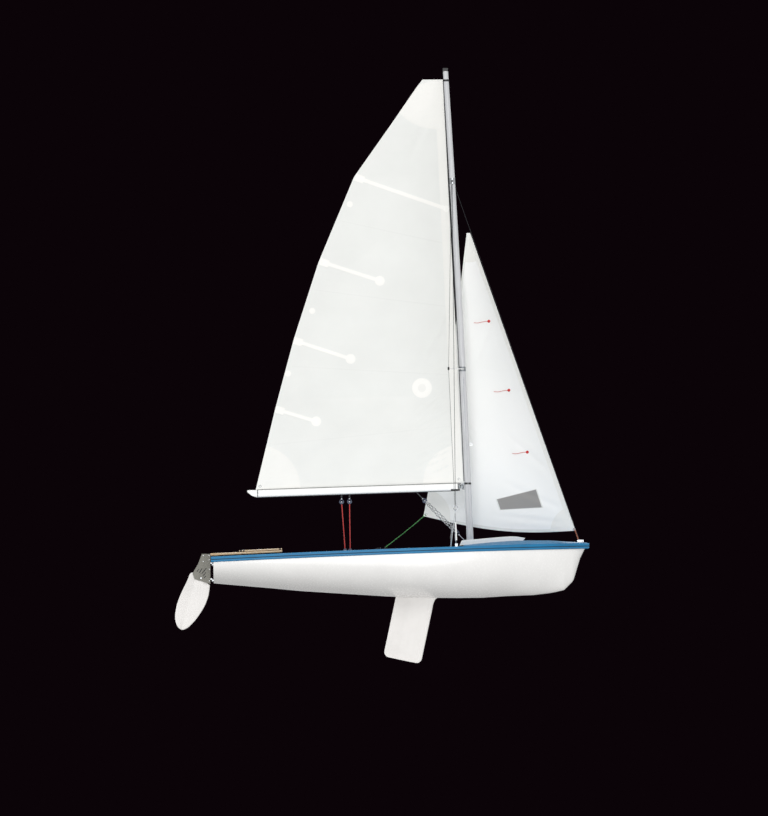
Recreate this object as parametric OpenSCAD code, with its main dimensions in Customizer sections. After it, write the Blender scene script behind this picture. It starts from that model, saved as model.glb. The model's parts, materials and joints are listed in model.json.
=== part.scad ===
// Two-person sailing dinghy. Bow along +X, port side along +Y, origin at the waterline amidships.

/* [Hull] */
// Length from the aft edge of the deck to the front of the bow band
length_overall = 4205; // [3600:5:5000]
// Greatest breadth over the gunwale bands
beam = 1630; // [1360:5:1960]
// Height of the sheer above the water amidships
freeboard = 338; // [300:1:400]
// Depth of the hull bottom under the water at its lowest point
hull_draught = 212; // [180:1:250]
// Thickness of the hull skin
hull_wall = 8; // [6:1:12]
// Height of the gunwale band
band_h = 60; // [40:1:75]
// Depth of the gunwale band outside the hull skin
band_d = 14; // [10:1:20]

/* [Deck and cockpit] */
// Thickness of the deck mouldings
deck_t = 6; // [4:1:10]
// Half width of the cockpit between the side tanks
cockpit_half = 470; // [400:5:540]
// Length of the foredeck, back from the bow
foredeck_l = 1400; // [1300:5:1450]
// Height of the foredeck's crown above the sheer
crown_h = 42; // [20:1:60]
// Height of the cockpit floor above the keel line
floor_h = 60; // [45:1:90]
// Height of the splashboard
splash_h = 52; // [40:1:80]
// Length of the splashboard's arms along the boat
splash_l = 720; // [600:10:760]

/* [Centreboard] */
// Chord of the board
board_chord = 425; // [360:5:460]
// Depth of the board under the water
board_draught = 947; // [800:1:1000]
// Thickness of the board
board_t = 24; // [18:1:30]
// Clearance each side between board and case
board_gap = 5; // [5:1:8]
// Thickness of the case walls
case_wall = 12; // [8:1:16]

/* [Mast and stays] */
// Distance from the bow to the mast's heel
mast_setback = 1325; // [1250:5:1340]
// Height of the masthead above the water
mast_top = 5692; // [5000:1:6300]
// Rake of the mast
mast_rake = 2.93; // [1:0.01:5]
// Forward bend of the mast in the middle
mast_bend = 20; // [0:1:40]
// Fore-and-aft depth of the mast at the deck
mast_depth = 78; // [70:1:90]
// Fore-and-aft depth of the mast at its top
mast_tip_depth = 57; // [50:1:70]
// Breadth of the mast
mast_breadth = 56; // [50:1:66]
// Height of the hounds, where the shrouds meet the mast
hounds_z = 4434; // [4000:1:4700]
// Height of the spreaders
spreader_z = 2340; // [2100:1:2600]
// Length of each spreader out from the centreline
spreader_reach = 400; // [340:5:450]
// Aft sweep of the spreader tips
spreader_sweep = 156; // [100:1:200]
// Radius of the wires
wire_r = 2; // [1.5:0.5:3]

/* [Boom and sails] */
// Length of the boom
boom_l = 2360; // [2000:5:2450]
// Depth of the boom
boom_depth = 80; // [60:1:90]
// Breadth of the boom
boom_breadth = 56; // [46:1:66]
// Height of the gooseneck above the water
gooseneck_z = 1026; // [950:1:1150]
// Upward slope of the boom towards the mast
boom_slope = 1.9; // [0:0.1:4]
// Distance from the mast's aft face to the boom's hinge line
hinge_gap = 17; // [16:1:24]
// Thickness of the sails' solids
sail_t = 4; // [3:0.5:6]
// Height of the mainsail's head
main_head_z = 5566; // [4900:1:6100]
// Width of the mainsail's head
main_head_w = 216; // [150:1:300]
// Fullness of the mainsail, as a share of its chord
main_camber = 0.09; // [0.04:0.01:0.12]
// Length of the mainsail's foot
main_foot_l = 2307; // [1950:1:2380]
// Height of the jib's head
jib_head_z = 3854; // [3400:1:4000]
// Fullness of the jib, as a share of its chord
jib_camber = 0.10; // [0.04:0.01:0.13]

/* [Rudder] */
// Distance from the transom to the rudder's axis
rudder_gap = 20; // [18:1:30]
// Half width of the gap in the deck's aft edge, which the rudder head turns in
rudder_notch = 70; // [60:1:100]
// Radius of the pintles
pintle_r = 4; // [3:0.5:6]
// Thickness of the rudder blade
blade_t = 18; // [14:1:22]
// Clearance each side between blade and head
blade_gap = 3; // [2:0.5:6]
// Thickness of each cheek of the rudder head
cheek_t = 6; // [4:1:10]
// Length of the tiller
tiller_l = 800; // [700:5:900]

/* [Hidden] */
$fn = 32;

// Keel line: columns are position as a share of half the length, and depth as a share of the draught,
// or, where negative, height as a share of the sheer's
KEEL = [[-1.00, 0.22], [-0.703, 0.47], [-0.533, 0.63], [-0.279, 0.79], [-0.067, 0.92], [0.14, 0.985],
    [0.31, 1.00], [0.43, 0.985], [0.57, 0.895], [0.697, 0.85], [0.782, 0.755], [0.824, 0.68], [0.866, 0.58],
    [0.909, 0.155], [0.951, -0.59], [0.978, -0.873], [0.993, -0.985]];
// Crown of the foredeck: columns are position as a share of half the length, and share of the crown's height
CROWN = [[0.30, 0.35], [0.366, 0.50], [0.50, 0.86], [0.62, 1.00], [0.78, 0.83], [0.866, 0.48], [0.98, 0.05]];
// Positions of the hull's sections as a share of half the length, closer together at the bow
SECTIONS = concat([for (i = [0:17]) -0.988 + 0.088 * i], [for (i = [0:13]) 0.986 - 0.45 * pow(1 - i / 13, 1.6)]);

half_l = length_overall / 2;
skin_half = beam / 2 - band_d;
stern_x = SECTIONS[0] * half_l;
bow_x = half_l;
stem_s = 0.993;
seat = 0.3;
transom_t = 20;
widest = -0.143;
wide_n = 12;

// Half breadth of the hull skin at the sheer, full amidships and rounded in to the stem
function skin_y(x) =
    let (s = x / half_l, u = (s - widest) / (stem_s - widest), v = (widest - s) / (1 + widest))
    s > widest ? skin_half * pow(max(1 - pow(u, 2.4), 0), 0.85) : skin_half * (1 - 0.2 * v * v);
function sheer_z(x) = let (s = x / half_l) freeboard + 76 * s - 15.5 * s * s;
function keel_z(x) = let (k = lookup(x / half_l, KEEL)) k > 0 ? -hull_draught * k : -k * sheer_z(x);
// Roundness of the section: a flat floor aft, finer towards the stem
function bilge(x) = let (s = x / half_l) s < 0.1 ? 2.3 : 2.3 - 0.95 * pow((s - 0.1) / 0.9, 1.4);
// Height of the skin at a breadth, and its breadth at a height, both moved inwards by a gap
function skin_z_at(x, y, gap) =
    let (b = skin_y(x) - gap, s = sheer_z(x), k = keel_z(x) + gap, n = bilge(x))
    s - (s - k) * pow(max(1 - pow(min(y / b, 1), n), 0), 1 / n);
function skin_y_at(x, z, gap) =
    let (b = skin_y(x) - gap, s = sheer_z(x), k = keel_z(x) + gap, n = bilge(x))
    b * pow(max(1 - pow(min((s - z) / (s - k), 1), n), 0), 1 / n);
// A point of the section at angle a from the keel, 0, to the sheer, 90
function skin_point(x, a, inner) =
    let (full = skin_y(x), b = inner ? max(full - hull_wall, 0.1 * full) : full, s = sheer_z(x),
         k = keel_z(x) + (inner ? min(hull_wall, 0.5 * (s - keel_z(x))) : 0), n = bilge(x))
    [x, b * pow(sin(a), 2 / n), s - (s - k) * pow(cos(a), 2 / n)];
function side_angles() = [for (i = [-wide_n:wide_n]) 90 * i / wide_n];
function skin_row(x, inner) =
    [for (a = side_angles()) let (p = skin_point(x, abs(a), inner)) [p[0], a < 0 ? -p[1] : p[1], p[2]]];

// Triangles of a tube through closed rings of m points, capped strip by strip from both ends of a ring
function ring_faces(rows, m) =
    [for (i = [0:rows - 2], j = [0:m - 1]) each let (a = i * m + j, b = i * m + (j + 1) % m, c = b + m, d = a + m)
        [[a, c, b], [a, d, c]]];
function strip_cap(base, m, flip) =
    [for (j = [0:m / 2 - 2]) each let (a = base + j, b = a + 1, c = base + m - 2 - j, d = c + 1)
        flip ? [[a, c, b], [a, d, c]] : [[a, b, c], [a, c, d]]];
// A closed solid through rings whose second half runs back along the first half
module ring_solid(rings) {
    m = len(rings[0]);
    polyhedron(points = [for (r = rings) each r],
        faces = concat(ring_faces(len(rings), m), strip_cap(0, m, false),
            strip_cap((len(rings) - 1) * m, m, true)));
}
// A closed sheet between an outer and an inner row of points at each step
module sheet_solid(front, back) {
    ring_solid([for (i = [0:len(front) - 1])
        concat(front[i], [for (j = [len(back[i]) - 1:-1:0]) back[i][j]])]);
}
// A round rod from one point to another
module rod(p, q, r) {
    v = q - p;
    l = norm(v);
    translate(p)
        rotate([0, acos(v[2] / l), atan2(v[1], v[0])])
            cylinder(r = r, h = l);
}
// Points of an arc from one angle to another
function arc(c, r, a0, a1) = [for (i = [0:8]) let (a = a0 + (a1 - a0) * i / 8) c + r * [cos(a), sin(a)]];
// A plate whose outline is drawn in X and Z, centred on a Y value
module plate_xz(t, y = 0) {
    translate([0, y + t / 2, 0])
        rotate([90, 0, 0])
            linear_extrude(t)
                children();
}

// Places that several pieces share
mast_foot_x = bow_x - mast_setback;
step_l = mast_depth + 20;
step_half = 40;
mast_foot_z = skin_z_at(mast_foot_x + step_l / 2, step_half, hull_wall + 1) + 12 + 2 * seat;
bulkhead_x = mast_x(mast_foot_z) + step_l / 2 + 2;
tank_front_x = bulkhead_x - seat;
tank_aft_x = stern_x + transom_t + seat;
floor_t = 8;
case_half = board_t / 2 + board_gap;
case_front_x = mast_foot_x - 300;
pivot_x = case_front_x - 118;
pivot_z = keel_z(pivot_x) + 80;
board_head_r = 100;
board_reach = board_draught + pivot_z;
case_aft_x = pivot_x - board_reach - 130;
case_top_z = 200;
thwart_x = case_aft_x;
thwart_w = 90;
thwart_top_z = 262;
axis_x = stern_x - rudder_gap;

function mast_x(z) =
    mast_foot_x - (z - 257) * tan(mast_rake) + mast_bend * sin(180 * max(min((z + 180) / (mast_top + 180), 1), 0));
function mast_d(z) = mast_depth + (mast_tip_depth - mast_depth) * max(z, 0) / mast_top;

module hull_shell() {
    color("#f2f2ee")
        difference() {
            sheet_solid([for (s = SECTIONS) skin_row(s * half_l, false)],
                [for (s = SECTIONS) skin_row(s * half_l, true)]);
            // The slot that the centreboard swings through
            translate([case_aft_x, -case_half, -hull_draught - 50])
                cube([case_front_x - case_aft_x, 2 * case_half, 200]);
        }
}

module transom() {
    g = hull_wall + 1;
    b = skin_y(stern_x) - g;
    color("#f2f2ee")
        translate([stern_x, 0, 0])
            rotate([90, 0, 90])
                linear_extrude(transom_t)
                    polygon([for (i = [-wide_n:wide_n])
                        let (y = b * sin(90 * i / wide_n)) [y, skin_z_at(stern_x, abs(y), g)]]);
}

function band_normal(x) = let (d = (skin_y(x + 4) - skin_y(x - 4)) / 8, l = sqrt(1 + d * d)) [-d / l, 1 / l];
// One ring of the band, out from the skin along direction n
function band_ring(x, y, n, z) =
    [for (p = [[0.5 * band_d, -band_h], [band_d, -0.85 * band_h], [band_d, -0.12 * band_h], [0.6 * band_d, 0],
        [seat, 0], [seat, -0.3 * band_h], [seat, -0.6 * band_h], [seat, -band_h]])
        [x + n[0] * p[0], y + n[1] * p[0], z + p[1]]];
module gunwale() {
    xs = concat([-half_l], [for (s = SECTIONS) s * half_l]);
    last = len(xs) - 1;
    port = [for (x = xs) band_ring(x, skin_y(x), band_normal(x), sheer_z(x))];
    star = [for (i = [last:-1:0]) let (n = band_normal(xs[i]))
        band_ring(xs[i], -skin_y(xs[i]), [n[0], -n[1]], sheer_z(xs[i]))];
    tip = band_ring(stem_s * half_l, 0, [1, 0], sheer_z(bow_x));
    aft_y = skin_y(-half_l) + 3;
    color("#2a86b8") {
        ring_solid(concat(port, [tip], star));
        // The deck's edge over the transom, open in the middle for the rudder's head to turn in
        for (side = [-1, 1])
            translate([-half_l, side > 0 ? rudder_notch : -aft_y, sheer_z(stern_x) - band_h])
                cube([half_l + stern_x - seat, aft_y - rudder_notch, band_h - 2]);
    }
}

// Height of the foredeck at a place
function deck_z(x, y) =
    let (b = skin_y(x), r = min(abs(y) / b, 1)) sheer_z(x) + crown_h * lookup(x / half_l, CROWN) * (1 - r * r);
function deck_row(x, drop) =
    let (b = max(skin_y(x) - 2, 0.5 * skin_y(x)))
    [for (i = [-wide_n:wide_n]) let (y = b * i / wide_n) [x, y, deck_z(x, y) + deck_t - drop]];
deck_aft_x = bow_x - foredeck_l;
deck_xs = concat([deck_aft_x], [for (s = SECTIONS) if (s * half_l > deck_aft_x + 40) s * half_l]);
module foredeck() {
    slot_w = mast_breadth + 24;
    slot_x = mast_x(freeboard) - mast_depth / 2 - 40;
    color("#2a86b8")
        difference() {
            sheet_solid([for (x = deck_xs) deck_row(x, deck_t - seat)], [for (x = deck_xs) deck_row(x, 0)]);
            translate([deck_aft_x - 10, -slot_w / 2, freeboard - 100])
                cube([slot_x + mast_depth + 52 - deck_aft_x, slot_w, 300]);
        }
}

module bow_bulkhead() {
    g = hull_wall + 2;
    x = bulkhead_x + 12;
    b = skin_y(x) - g;
    color("#e8e8e2")
        translate([bulkhead_x, 0, 0])
            rotate([90, 0, 90])
                linear_extrude(12)
                    polygon(concat(
                        [for (i = [-wide_n:wide_n])
                            let (y = b * sin(85 * i / wide_n)) [y, skin_z_at(x, abs(y), g) + 1]],
                        [for (i = [wide_n:-1:-wide_n])
                            let (y = b * sin(85 * i / wide_n)) [y, deck_z(bulkhead_x, y) - 1]]));
}

// A side tank's solid, from the skin up to the side deck
tank_xs = concat([tank_aft_x], [for (s = SECTIONS) if (s * half_l > tank_aft_x + 60
    && s * half_l < tank_front_x - 60) s * half_l], [tank_front_x]);
function tank_top(x, y) = sheer_z(x) - 16 * pow(1 - (y - cockpit_half) / (skin_y(x) - tank_gap - cockpit_half), 3);
tank_gap = hull_wall + 2.5;
module side_tank() {
    g = tank_gap;
    n = 8;
    color("#2a86b8")
        sheet_solid(
            [for (x = tank_xs) [for (i = [0:n]) let (b = skin_y(x) - g, y = cockpit_half + (b - cockpit_half) * i / n)
                [x, y, min(skin_z_at(x, y, g), sheer_z(x) - 20)]]],
            [for (x = tank_xs) [for (i = [0:n]) let (b = skin_y(x) - g, r = i / n)
                [x, cockpit_half + (b - cockpit_half) * r, tank_top(x, cockpit_half + (b - cockpit_half) * r)]]]);
}
module port_tank() side_tank();
module starboard_tank() mirror([0, 1, 0]) side_tank();

floor_xs = concat([tank_aft_x], [for (s = SECTIONS) if (s * half_l > tank_aft_x + 60
    && s * half_l < tank_front_x - 60) s * half_l], [tank_front_x]);
function floor_row(x, up) =
    let (z = keel_z(x) + floor_h, b = min(skin_y_at(x, z, hull_wall + 4), cockpit_half - 2))
    [for (i = [-6:6]) [x, b * i / 6, z + up]];
module cockpit_floor() {
    cut = case_half + case_wall + seat;
    color("#d9dcdc")
        difference() {
            sheet_solid([for (x = floor_xs) floor_row(x, 0)], [for (x = floor_xs) floor_row(x, floor_t)]);
            // The opening round the centreboard case, and round the mast's heel
            translate([case_aft_x - case_wall - seat, -cut, -hull_draught])
                cube([case_front_x - case_aft_x + 2 * (case_wall + seat), 2 * cut, 400]);
            translate([mast_foot_x - 70, -60, -hull_draught])
                cube([150, 120, 400]);
        }
}

module centreboard_case() {
    w = case_half + case_wall;
    n = 8;
    xs = [for (i = [0:n]) case_aft_x - case_wall + (case_front_x - case_aft_x + 2 * case_wall) * i / n];
    color("#f2f2ee")
        difference() {
            // The lower edge follows the hull's bottom
            plate_xz(2 * w)
                polygon(concat([for (x = xs) [x, skin_z_at(x, w, hull_wall + 1.6)]],
                    [[xs[n], case_top_z], [xs[0], case_top_z]]));
            translate([case_aft_x, -case_half, -hull_draught - 50])
                cube([case_front_x - case_aft_x, 2 * case_half, 900]);
        }
    // The bolt that the board turns on
    color("#b8bcc0")
        translate([pivot_x, w, pivot_z])
            rotate([90, 0, 0])
                cylinder(r = board_pin_r, h = 2 * w);
}

module thwart() {
    y = cockpit_half - seat;
    color("#e8e8e2")
        translate([thwart_x - thwart_w / 2, -y, thwart_top_z - 40])
            cube([thwart_w, 2 * y, 34]);
    // The traveller's track
    color("#9aa0a6")
        translate([thwart_x - 14, -y + 20, thwart_top_z - 8])
            cube([28, 2 * y - 40, 8]);
}

// A block's sheave and cheeks, hung or stood on a short strap
module block_at(x, z, r, strap) {
    translate([x, 8, z])
        rotate([90, 0, 0])
            cylinder(r = r, h = 16);
    translate([x - 5, -5, strap > 0 ? z : z + strap])
        cube([10, 10, abs(strap)]);
}
module mainsheet_blocks() {
    color("#2b2b2b")
        for (x = [thwart_x - 28, thwart_x + 28])
            block_at(x, thwart_top_z + 56, 24, -62 + seat);
}

splash_apex_x = bow_x - 731;
splash_half = 430;
module splashboard() {
    t = 12;
    color("#f2f2ee")
        for (side = [-1, 1]) {
            n = 8;
            pts = [for (i = [0:n]) let (r = i / n) [splash_apex_x - splash_l * r, side * splash_half * r]];
            front = [for (p = pts) let (z = deck_z(p[0], p[1]) + deck_t + 0.9)
                [[p[0], p[1] + side * t, z], [p[0] + 22, p[1] + side * t, z + splash_h]]];
            back = [for (p = pts) let (z = deck_z(p[0], p[1]) + deck_t + 0.9)
                [[p[0], p[1], z], [p[0] + 22, p[1], z + splash_h]]];
            if (side > 0)
                sheet_solid([for (i = [n:-1:0]) back[i]], [for (i = [n:-1:0]) front[i]]);
            else
                sheet_solid([for (i = [n:-1:0]) front[i]], [for (i = [n:-1:0]) back[i]]);
        }
}

module mast() {
    zs = [for (i = [0:14]) mast_foot_z + (mast_top - 34 - mast_foot_z) * i / 14];
    color("#e9e9e6")
        ring_solid([for (z = zs) let (d = mast_d(z), b = mast_breadth * d / mast_depth)
            [for (j = [0:15]) [mast_x(z) + d / 2 * cos(22.5 * j), b / 2 * sin(22.5 * j), z]]]);
}

module masthead_cap() {
    d = mast_d(mast_top);
    color("#1c1c1c")
        translate([mast_x(mast_top) - d / 2, -mast_breadth * 0.36, mast_top - 34 + seat])
            cube([d, mast_breadth * 0.72, 34 - seat]);
}

module mast_gate() {
    z = deck_z(mast_foot_x + mast_depth / 2 + 30, 0) + deck_t + seat;
    c = mast_x(z);
    w = mast_breadth / 2 + 2;
    color("#9aa0a6")
        for (side = [-1, 1])
            translate([c - mast_depth / 2, side > 0 ? w : -w - 8, z])
                cube([mast_depth + 30, 8, 26]);
}

module mast_step() {
    x = mast_x(mast_foot_z);
    color("#9aa0a6")
        translate([x - step_l / 2, -step_half, mast_foot_z - 12 - seat])
            cube([step_l, 2 * step_half, 12]);
}

module spreader(side) {
    x = mast_x(spreader_z);
    root = side * (mast_breadth * 0.46);
    tip = side * (spreader_reach - 8);
    color("#e9e9e6")
        translate([0, 0, spreader_z - 5])
            linear_extrude(10)
                polygon([[x + 20, root], [x - 16, root], [x - spreader_sweep - 10, tip], [x - spreader_sweep + 8, tip]]);
}
module port_spreader() spreader(1);
module starboard_spreader() spreader(-1);

chain_x = mast_foot_x - 156;
chain_y = skin_y(chain_x) - 22;
chain_z = sheer_z(chain_x) + seat;
chain_h = 36;
ball_r = 5;
module shroud(side) {
    top = [mast_x(hounds_z) - 10, side * (mast_breadth * 0.42 + 4), hounds_z];
    tip = [mast_x(spreader_z) - spreader_sweep, side * (spreader_reach - 8 + ball_r + seat), spreader_z];
    foot = [chain_x, side * chain_y, chain_z + chain_h + 1.1];
    color("#c9ccd0") {
        rod(foot, tip, wire_r);
        rod(tip, top, wire_r);
        translate(tip)
            sphere(r = ball_r);
        translate(top)
            sphere(r = ball_r);
        // The rigging screw over the chainplate
        rod(foot, foot + (tip - foot) * 0.09, 5);
    }
}
module port_shroud() shroud(1);
module starboard_shroud() shroud(-1);

module chainplate(side) {
    color("#b8bcc0")
        difference() {
            translate([chain_x - 12, side * chain_y - 2, chain_z])
                cube([24, 4, chain_h]);
            translate([chain_x, side * chain_y + 5, chain_z + 26])
                rotate([90, 0, 0])
                    cylinder(r = 4, h = 10);
        }
}
module port_chainplate() chainplate(1);
module starboard_chainplate() chainplate(-1);

stay_foot = [bow_x - 103, 0, deck_z(bow_x - 133, 0) + deck_t + seat];
stay_head_z = hounds_z - 101;
module forestay() {
    head = [mast_x(stay_head_z) + mast_d(stay_head_z) / 2 + ball_r + seat, 0, stay_head_z];
    color("#c9ccd0") {
        rod(stay_foot + (head - stay_foot) * 27 / (head[2] - stay_foot[2]), head, wire_r);
        translate(head)
            sphere(r = ball_r);
    }
}
// The plate on the stem that takes the forestay, with an eye for the painter
eye_r = 6;
module bow_fitting() {
    z = stay_foot[2];
    color("#b8bcc0")
        difference() {
            translate([stay_foot[0] - 30, -3, z])
                cube([70, 6, 26]);
            translate([stay_foot[0] + 24, 5, z + 12])
                rotate([90, 0, 0])
                    cylinder(r = eye_r, h = 10);
        }
}
// The ring on the mast's front face for the spinnaker pole
ring_z = 1500;
ring_hole_r = 12;
module pole_ring() {
    x = mast_x(ring_z) + mast_d(ring_z) / 2;
    color("#b8bcc0")
        translate([x + ring_hole_r + 6 + seat, 4, ring_z])
            rotate([90, 0, 0])
                difference() {
                    cylinder(r = ring_hole_r + 6, h = 8);
                    translate([0, 0, -1])
                        cylinder(r = ring_hole_r, h = 10);
                }
}

// Hinge line of the boom, straight and aft of the mast's face
function mast_face(z) = mast_x(z) - mast_d(z) / 2;
hinge_low = mast_face(gooseneck_z) - hinge_gap;
hinge_high = mast_face(main_head_z) - hinge_gap;
hinge_lean = (hinge_low - hinge_high) / (main_head_z - gooseneck_z);
function hinge_x(z) = hinge_low - (z - gooseneck_z) * hinge_lean;
lug_r = 9;
goose_pin_r = 4;
running = 0.05;
module on_hinge() {
    translate([hinge_low, 0, gooseneck_z])
        rotate([0, -atan(hinge_lean), 0])
            children();
}
module gooseneck_bracket() {
    color("#3a3d40")
        on_hinge() {
            translate([0, 0, -32])
                cylinder(r = goose_pin_r, h = 64);
            for (z = [-27, 21])
                translate([0, 0, z]) {
                    cylinder(r = lug_r, h = 6);
                    translate([0, -lug_r, 0])
                        cube([hinge_gap - 1.5, 2 * lug_r, 6]);
                }
            translate([hinge_gap - 4, -11, -32])
                cube([3, 22, 64]);
        }
}
boom_start = 50;
boom_cap = 8;
module gooseneck() {
    color("#3a3d40")
        on_hinge()
            difference() {
                union() {
                    translate([0, 0, -20])
                        cylinder(r = lug_r, h = 40);
                    translate([-boom_start, -7, -16])
                        cube([boom_start, 14, 32]);
                }
                translate([0, 0, -21])
                    cylinder(r = goose_pin_r + running, h = 42);
            }
}
// Frame of the boom: +Z runs aft along it from its fore end, +X is up
boom_x = hinge_low - boom_start;
function boom_z(x) = gooseneck_z - (boom_x - x) * tan(boom_slope);
module along_boom() {
    translate([boom_x, 0, gooseneck_z])
        rotate([0, -90 - boom_slope, 0])
            children();
}
module rounded(w, d, r) {
    square([w - 2 * r, d], center = true);
    square([w, d - 2 * r], center = true);
    for (a = [-1, 1], b = [-1, 1])
        translate([a * (w / 2 - r), b * (d / 2 - r)])
            circle(r = r);
}
module boom() {
    color("#f0f0ed")
        along_boom()
            translate([0, 0, boom_cap + 2 * seat])
                linear_extrude(boom_l - 2 * boom_cap - 4 * seat)
                    rounded(boom_depth, boom_breadth, 20);
}
module boom_end() {
    color("#2b2b2b")
        along_boom()
            for (z = [seat, boom_l - boom_cap - seat])
                translate([0, 0, z])
                    linear_extrude(boom_cap)
                        rounded(boom_depth, boom_breadth, 20);
}

// Leech of the mainsail: columns are share of the height, and share of the foot's length
ROACH = [[0, 1], [0.198, 0.886], [0.367, 0.780], [0.5545, 0.642], [0.763, 0.449], [0.891, 0.257], [0.979, 0.128],
    [1, 0.094]];
tack_z = gooseneck_z + 49;
clew_z = boom_z(boom_x - main_foot_l + 50) + boom_depth / 2 + 2 * seat;
luff_lead = 8;
main_twist = 14;
// Middle of the mainsail at a share of the chord, u, and of the height, v
function main_point(u, v) =
    let (zl = tack_z + v * (main_head_z - tack_z), ze = clew_z + v * (main_head_z - clew_z),
         t = main_twist * v, c = (v < 1 ? main_foot_l * lookup(v, ROACH) : main_head_w) / cos(t),
         bow = main_camber * c * min(1, 0.12 + 4 * v) * sin(180 * pow(u, 0.8)), a = c * u)
    [hinge_x(zl) + luff_lead * (1 - u) - a * cos(t) + bow * sin(t), a * sin(t) + bow * cos(t), zl + (ze - zl) * u];
module mainsail() {
    n = 14;
    vs = [for (i = [0:n]) i / n];
    color("#f7f7f5")
        sheet_solid([for (v = vs) [for (j = [0:n]) main_point(j / n, v) + [0, sail_t / 2, 0]]],
            [for (v = vs) [for (j = [0:n]) main_point(j / n, v) - [0, sail_t / 2, 0]]]);
}

// The vang from the mast's foot to the boom; its lower end lies close to the hinge line
vang_z = 430;
vang_reach = 475;
module vang_tang() {
    x = mast_face(vang_z);
    color("#3a3d40")
        translate([x - 10.5, -3, vang_z - 14])
            cube([10, 6, 28]);
}
module vang() {
    low = [hinge_x(vang_z) - 16, 0, vang_z + 4];
    top_x = boom_x - vang_reach;
    high = [top_x, 0, boom_z(top_x) - boom_depth / 2 - 11.3];
    color("#d8dadc") {
        rod(low, high, 6);
        translate(low)
            sphere(r = 8);
    }
    color("#2b2b2b")
        translate([top_x, 8, high[2]])
            rotate([90, 0, 0])
                cylinder(r = 11, h = 16);
}

module boom_blocks() {
    color("#2b2b2b")
        for (x = [thwart_x - 68, thwart_x + 20])
            block_at(x, boom_z(x) - boom_depth / 2 - 84, 28, 84 - seat);
}

// Leech of the jib: columns are share of the height, and breadth to port
JIB_LEE = [[0, 345], [0.28, 392], [0.53, 405], [0.7, 320], [0.855, 175], [1, 6]];
jib_tack_z = 540;
jib_clew_z = 702;
jib_clew_x = mast_foot_x - 521;
jib_hollow = 40;
jib_foot_round = 84;
stay_lean = (stay_foot[0] - mast_x(stay_head_z) - mast_d(stay_head_z) / 2 - ball_r - seat) / (stay_head_z - stay_foot[2]);
function stay_x(z) = stay_foot[0] - (z - stay_foot[2]) * stay_lean;
// Middle of the jib at a share of the chord, u, and of the height, v
function jib_point(u, v) =
    let (zl = jib_tack_z + v * (jib_head_z - jib_tack_z), ze = jib_clew_z + v * (jib_head_z - jib_clew_z),
         xl = stay_x(zl) - wire_r - 2 * seat, head_x = stay_x(jib_head_z) - 40,
         xe = jib_clew_x + v * (head_x - jib_clew_x) + jib_hollow * sin(180 * v), ye = lookup(v, JIB_LEE),
         c = norm([xl - xe, ye]), bow = jib_camber * c * sin(180 * pow(u, 0.85)) * (1 - 0.3 * v),
         drop = jib_foot_round * sin(180 * u) * pow(1 - v, 8))
    [xl + (xe - xl) * u + bow * ye / c, ye * u + bow * (xl - xe) / c, zl + (ze - zl) * u - drop];
module jib() {
    n = 14;
    vs = [for (i = [0:n]) i / n];
    color("#f7f7f5")
        sheet_solid([for (v = vs) [for (j = [0:n]) jib_point(j / n, v) + [0, sail_t / 2, 0]]],
            [for (v = vs) [for (j = [0:n]) jib_point(j / n, v) - [0, sail_t / 2, 0]]]);
}
lead_x = jib_clew_x - 429;
module jib_lead(side) {
    y = cockpit_half + 60;
    color("#2b2b2b")
        translate([lead_x - 30, side * y - 8, tank_top(lead_x, y + 8) + 2 * seat]) {
            cube([60, 16, 12]);
            translate([30, 8, 12])
                cylinder(r = 8, h = 18);
        }
}
module port_jib_lead() jib_lead(1);
module starboard_jib_lead() jib_lead(-1);

strap_y = 120;
module toe_strap(side) {
    front_x = thwart_x - thwart_w / 2 - seat;
    aft_x = stern_x + transom_t + seat;
    h = keel_z(aft_x) + floor_h + floor_t + 60;
    h2 = thwart_top_z - 36;
    color("#1c1c1c")
        plate_xz(50, side * strap_y)
            polygon([[aft_x, h], [front_x, h2], [front_x, h2 + 4], [aft_x, h + 4]]);
}
module port_toe_strap() toe_strap(1);
module starboard_toe_strap() toe_strap(-1);

// The rudder's places are measured down from the deck's edge
rudder_z = sheer_z(stern_x) - 248;
GUDGEONS = [161, -16];
module rudder_gudgeons() {
    color("#b8bcc0")
        for (z = GUDGEONS)
            translate([axis_x, 0, z + rudder_z - 8])
                difference() {
                    union() {
                        cylinder(r = pintle_r + 5, h = 16);
                        translate([0, -pintle_r - 5, 0])
                            cube([rudder_gap - seat, 2 * pintle_r + 10, 16]);
                        translate([rudder_gap - 3 - seat, -40, -6])
                            cube([3, 80, 28]);
                    }
                    translate([0, 0, -10])
                        cylinder(r = pintle_r + running, h = 40);
                }
}
head_gap = 21;
module pintles() {
    color("#b8bcc0")
        for (z = GUDGEONS) {
            translate([axis_x, 0, z + rudder_z - 14])
                cylinder(r = pintle_r, h = 30);
            translate([axis_x - head_gap + seat, -9, z + rudder_z + 10])
                cube([head_gap - seat, 18, 12]);
        }
}
// Cheek of the rudder head: columns are distance aft of the axis, and height
CHEEK = [[21, 280], [116, 280], [159, 165], [220, 62], [196, -3], [21, -55]];
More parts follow.
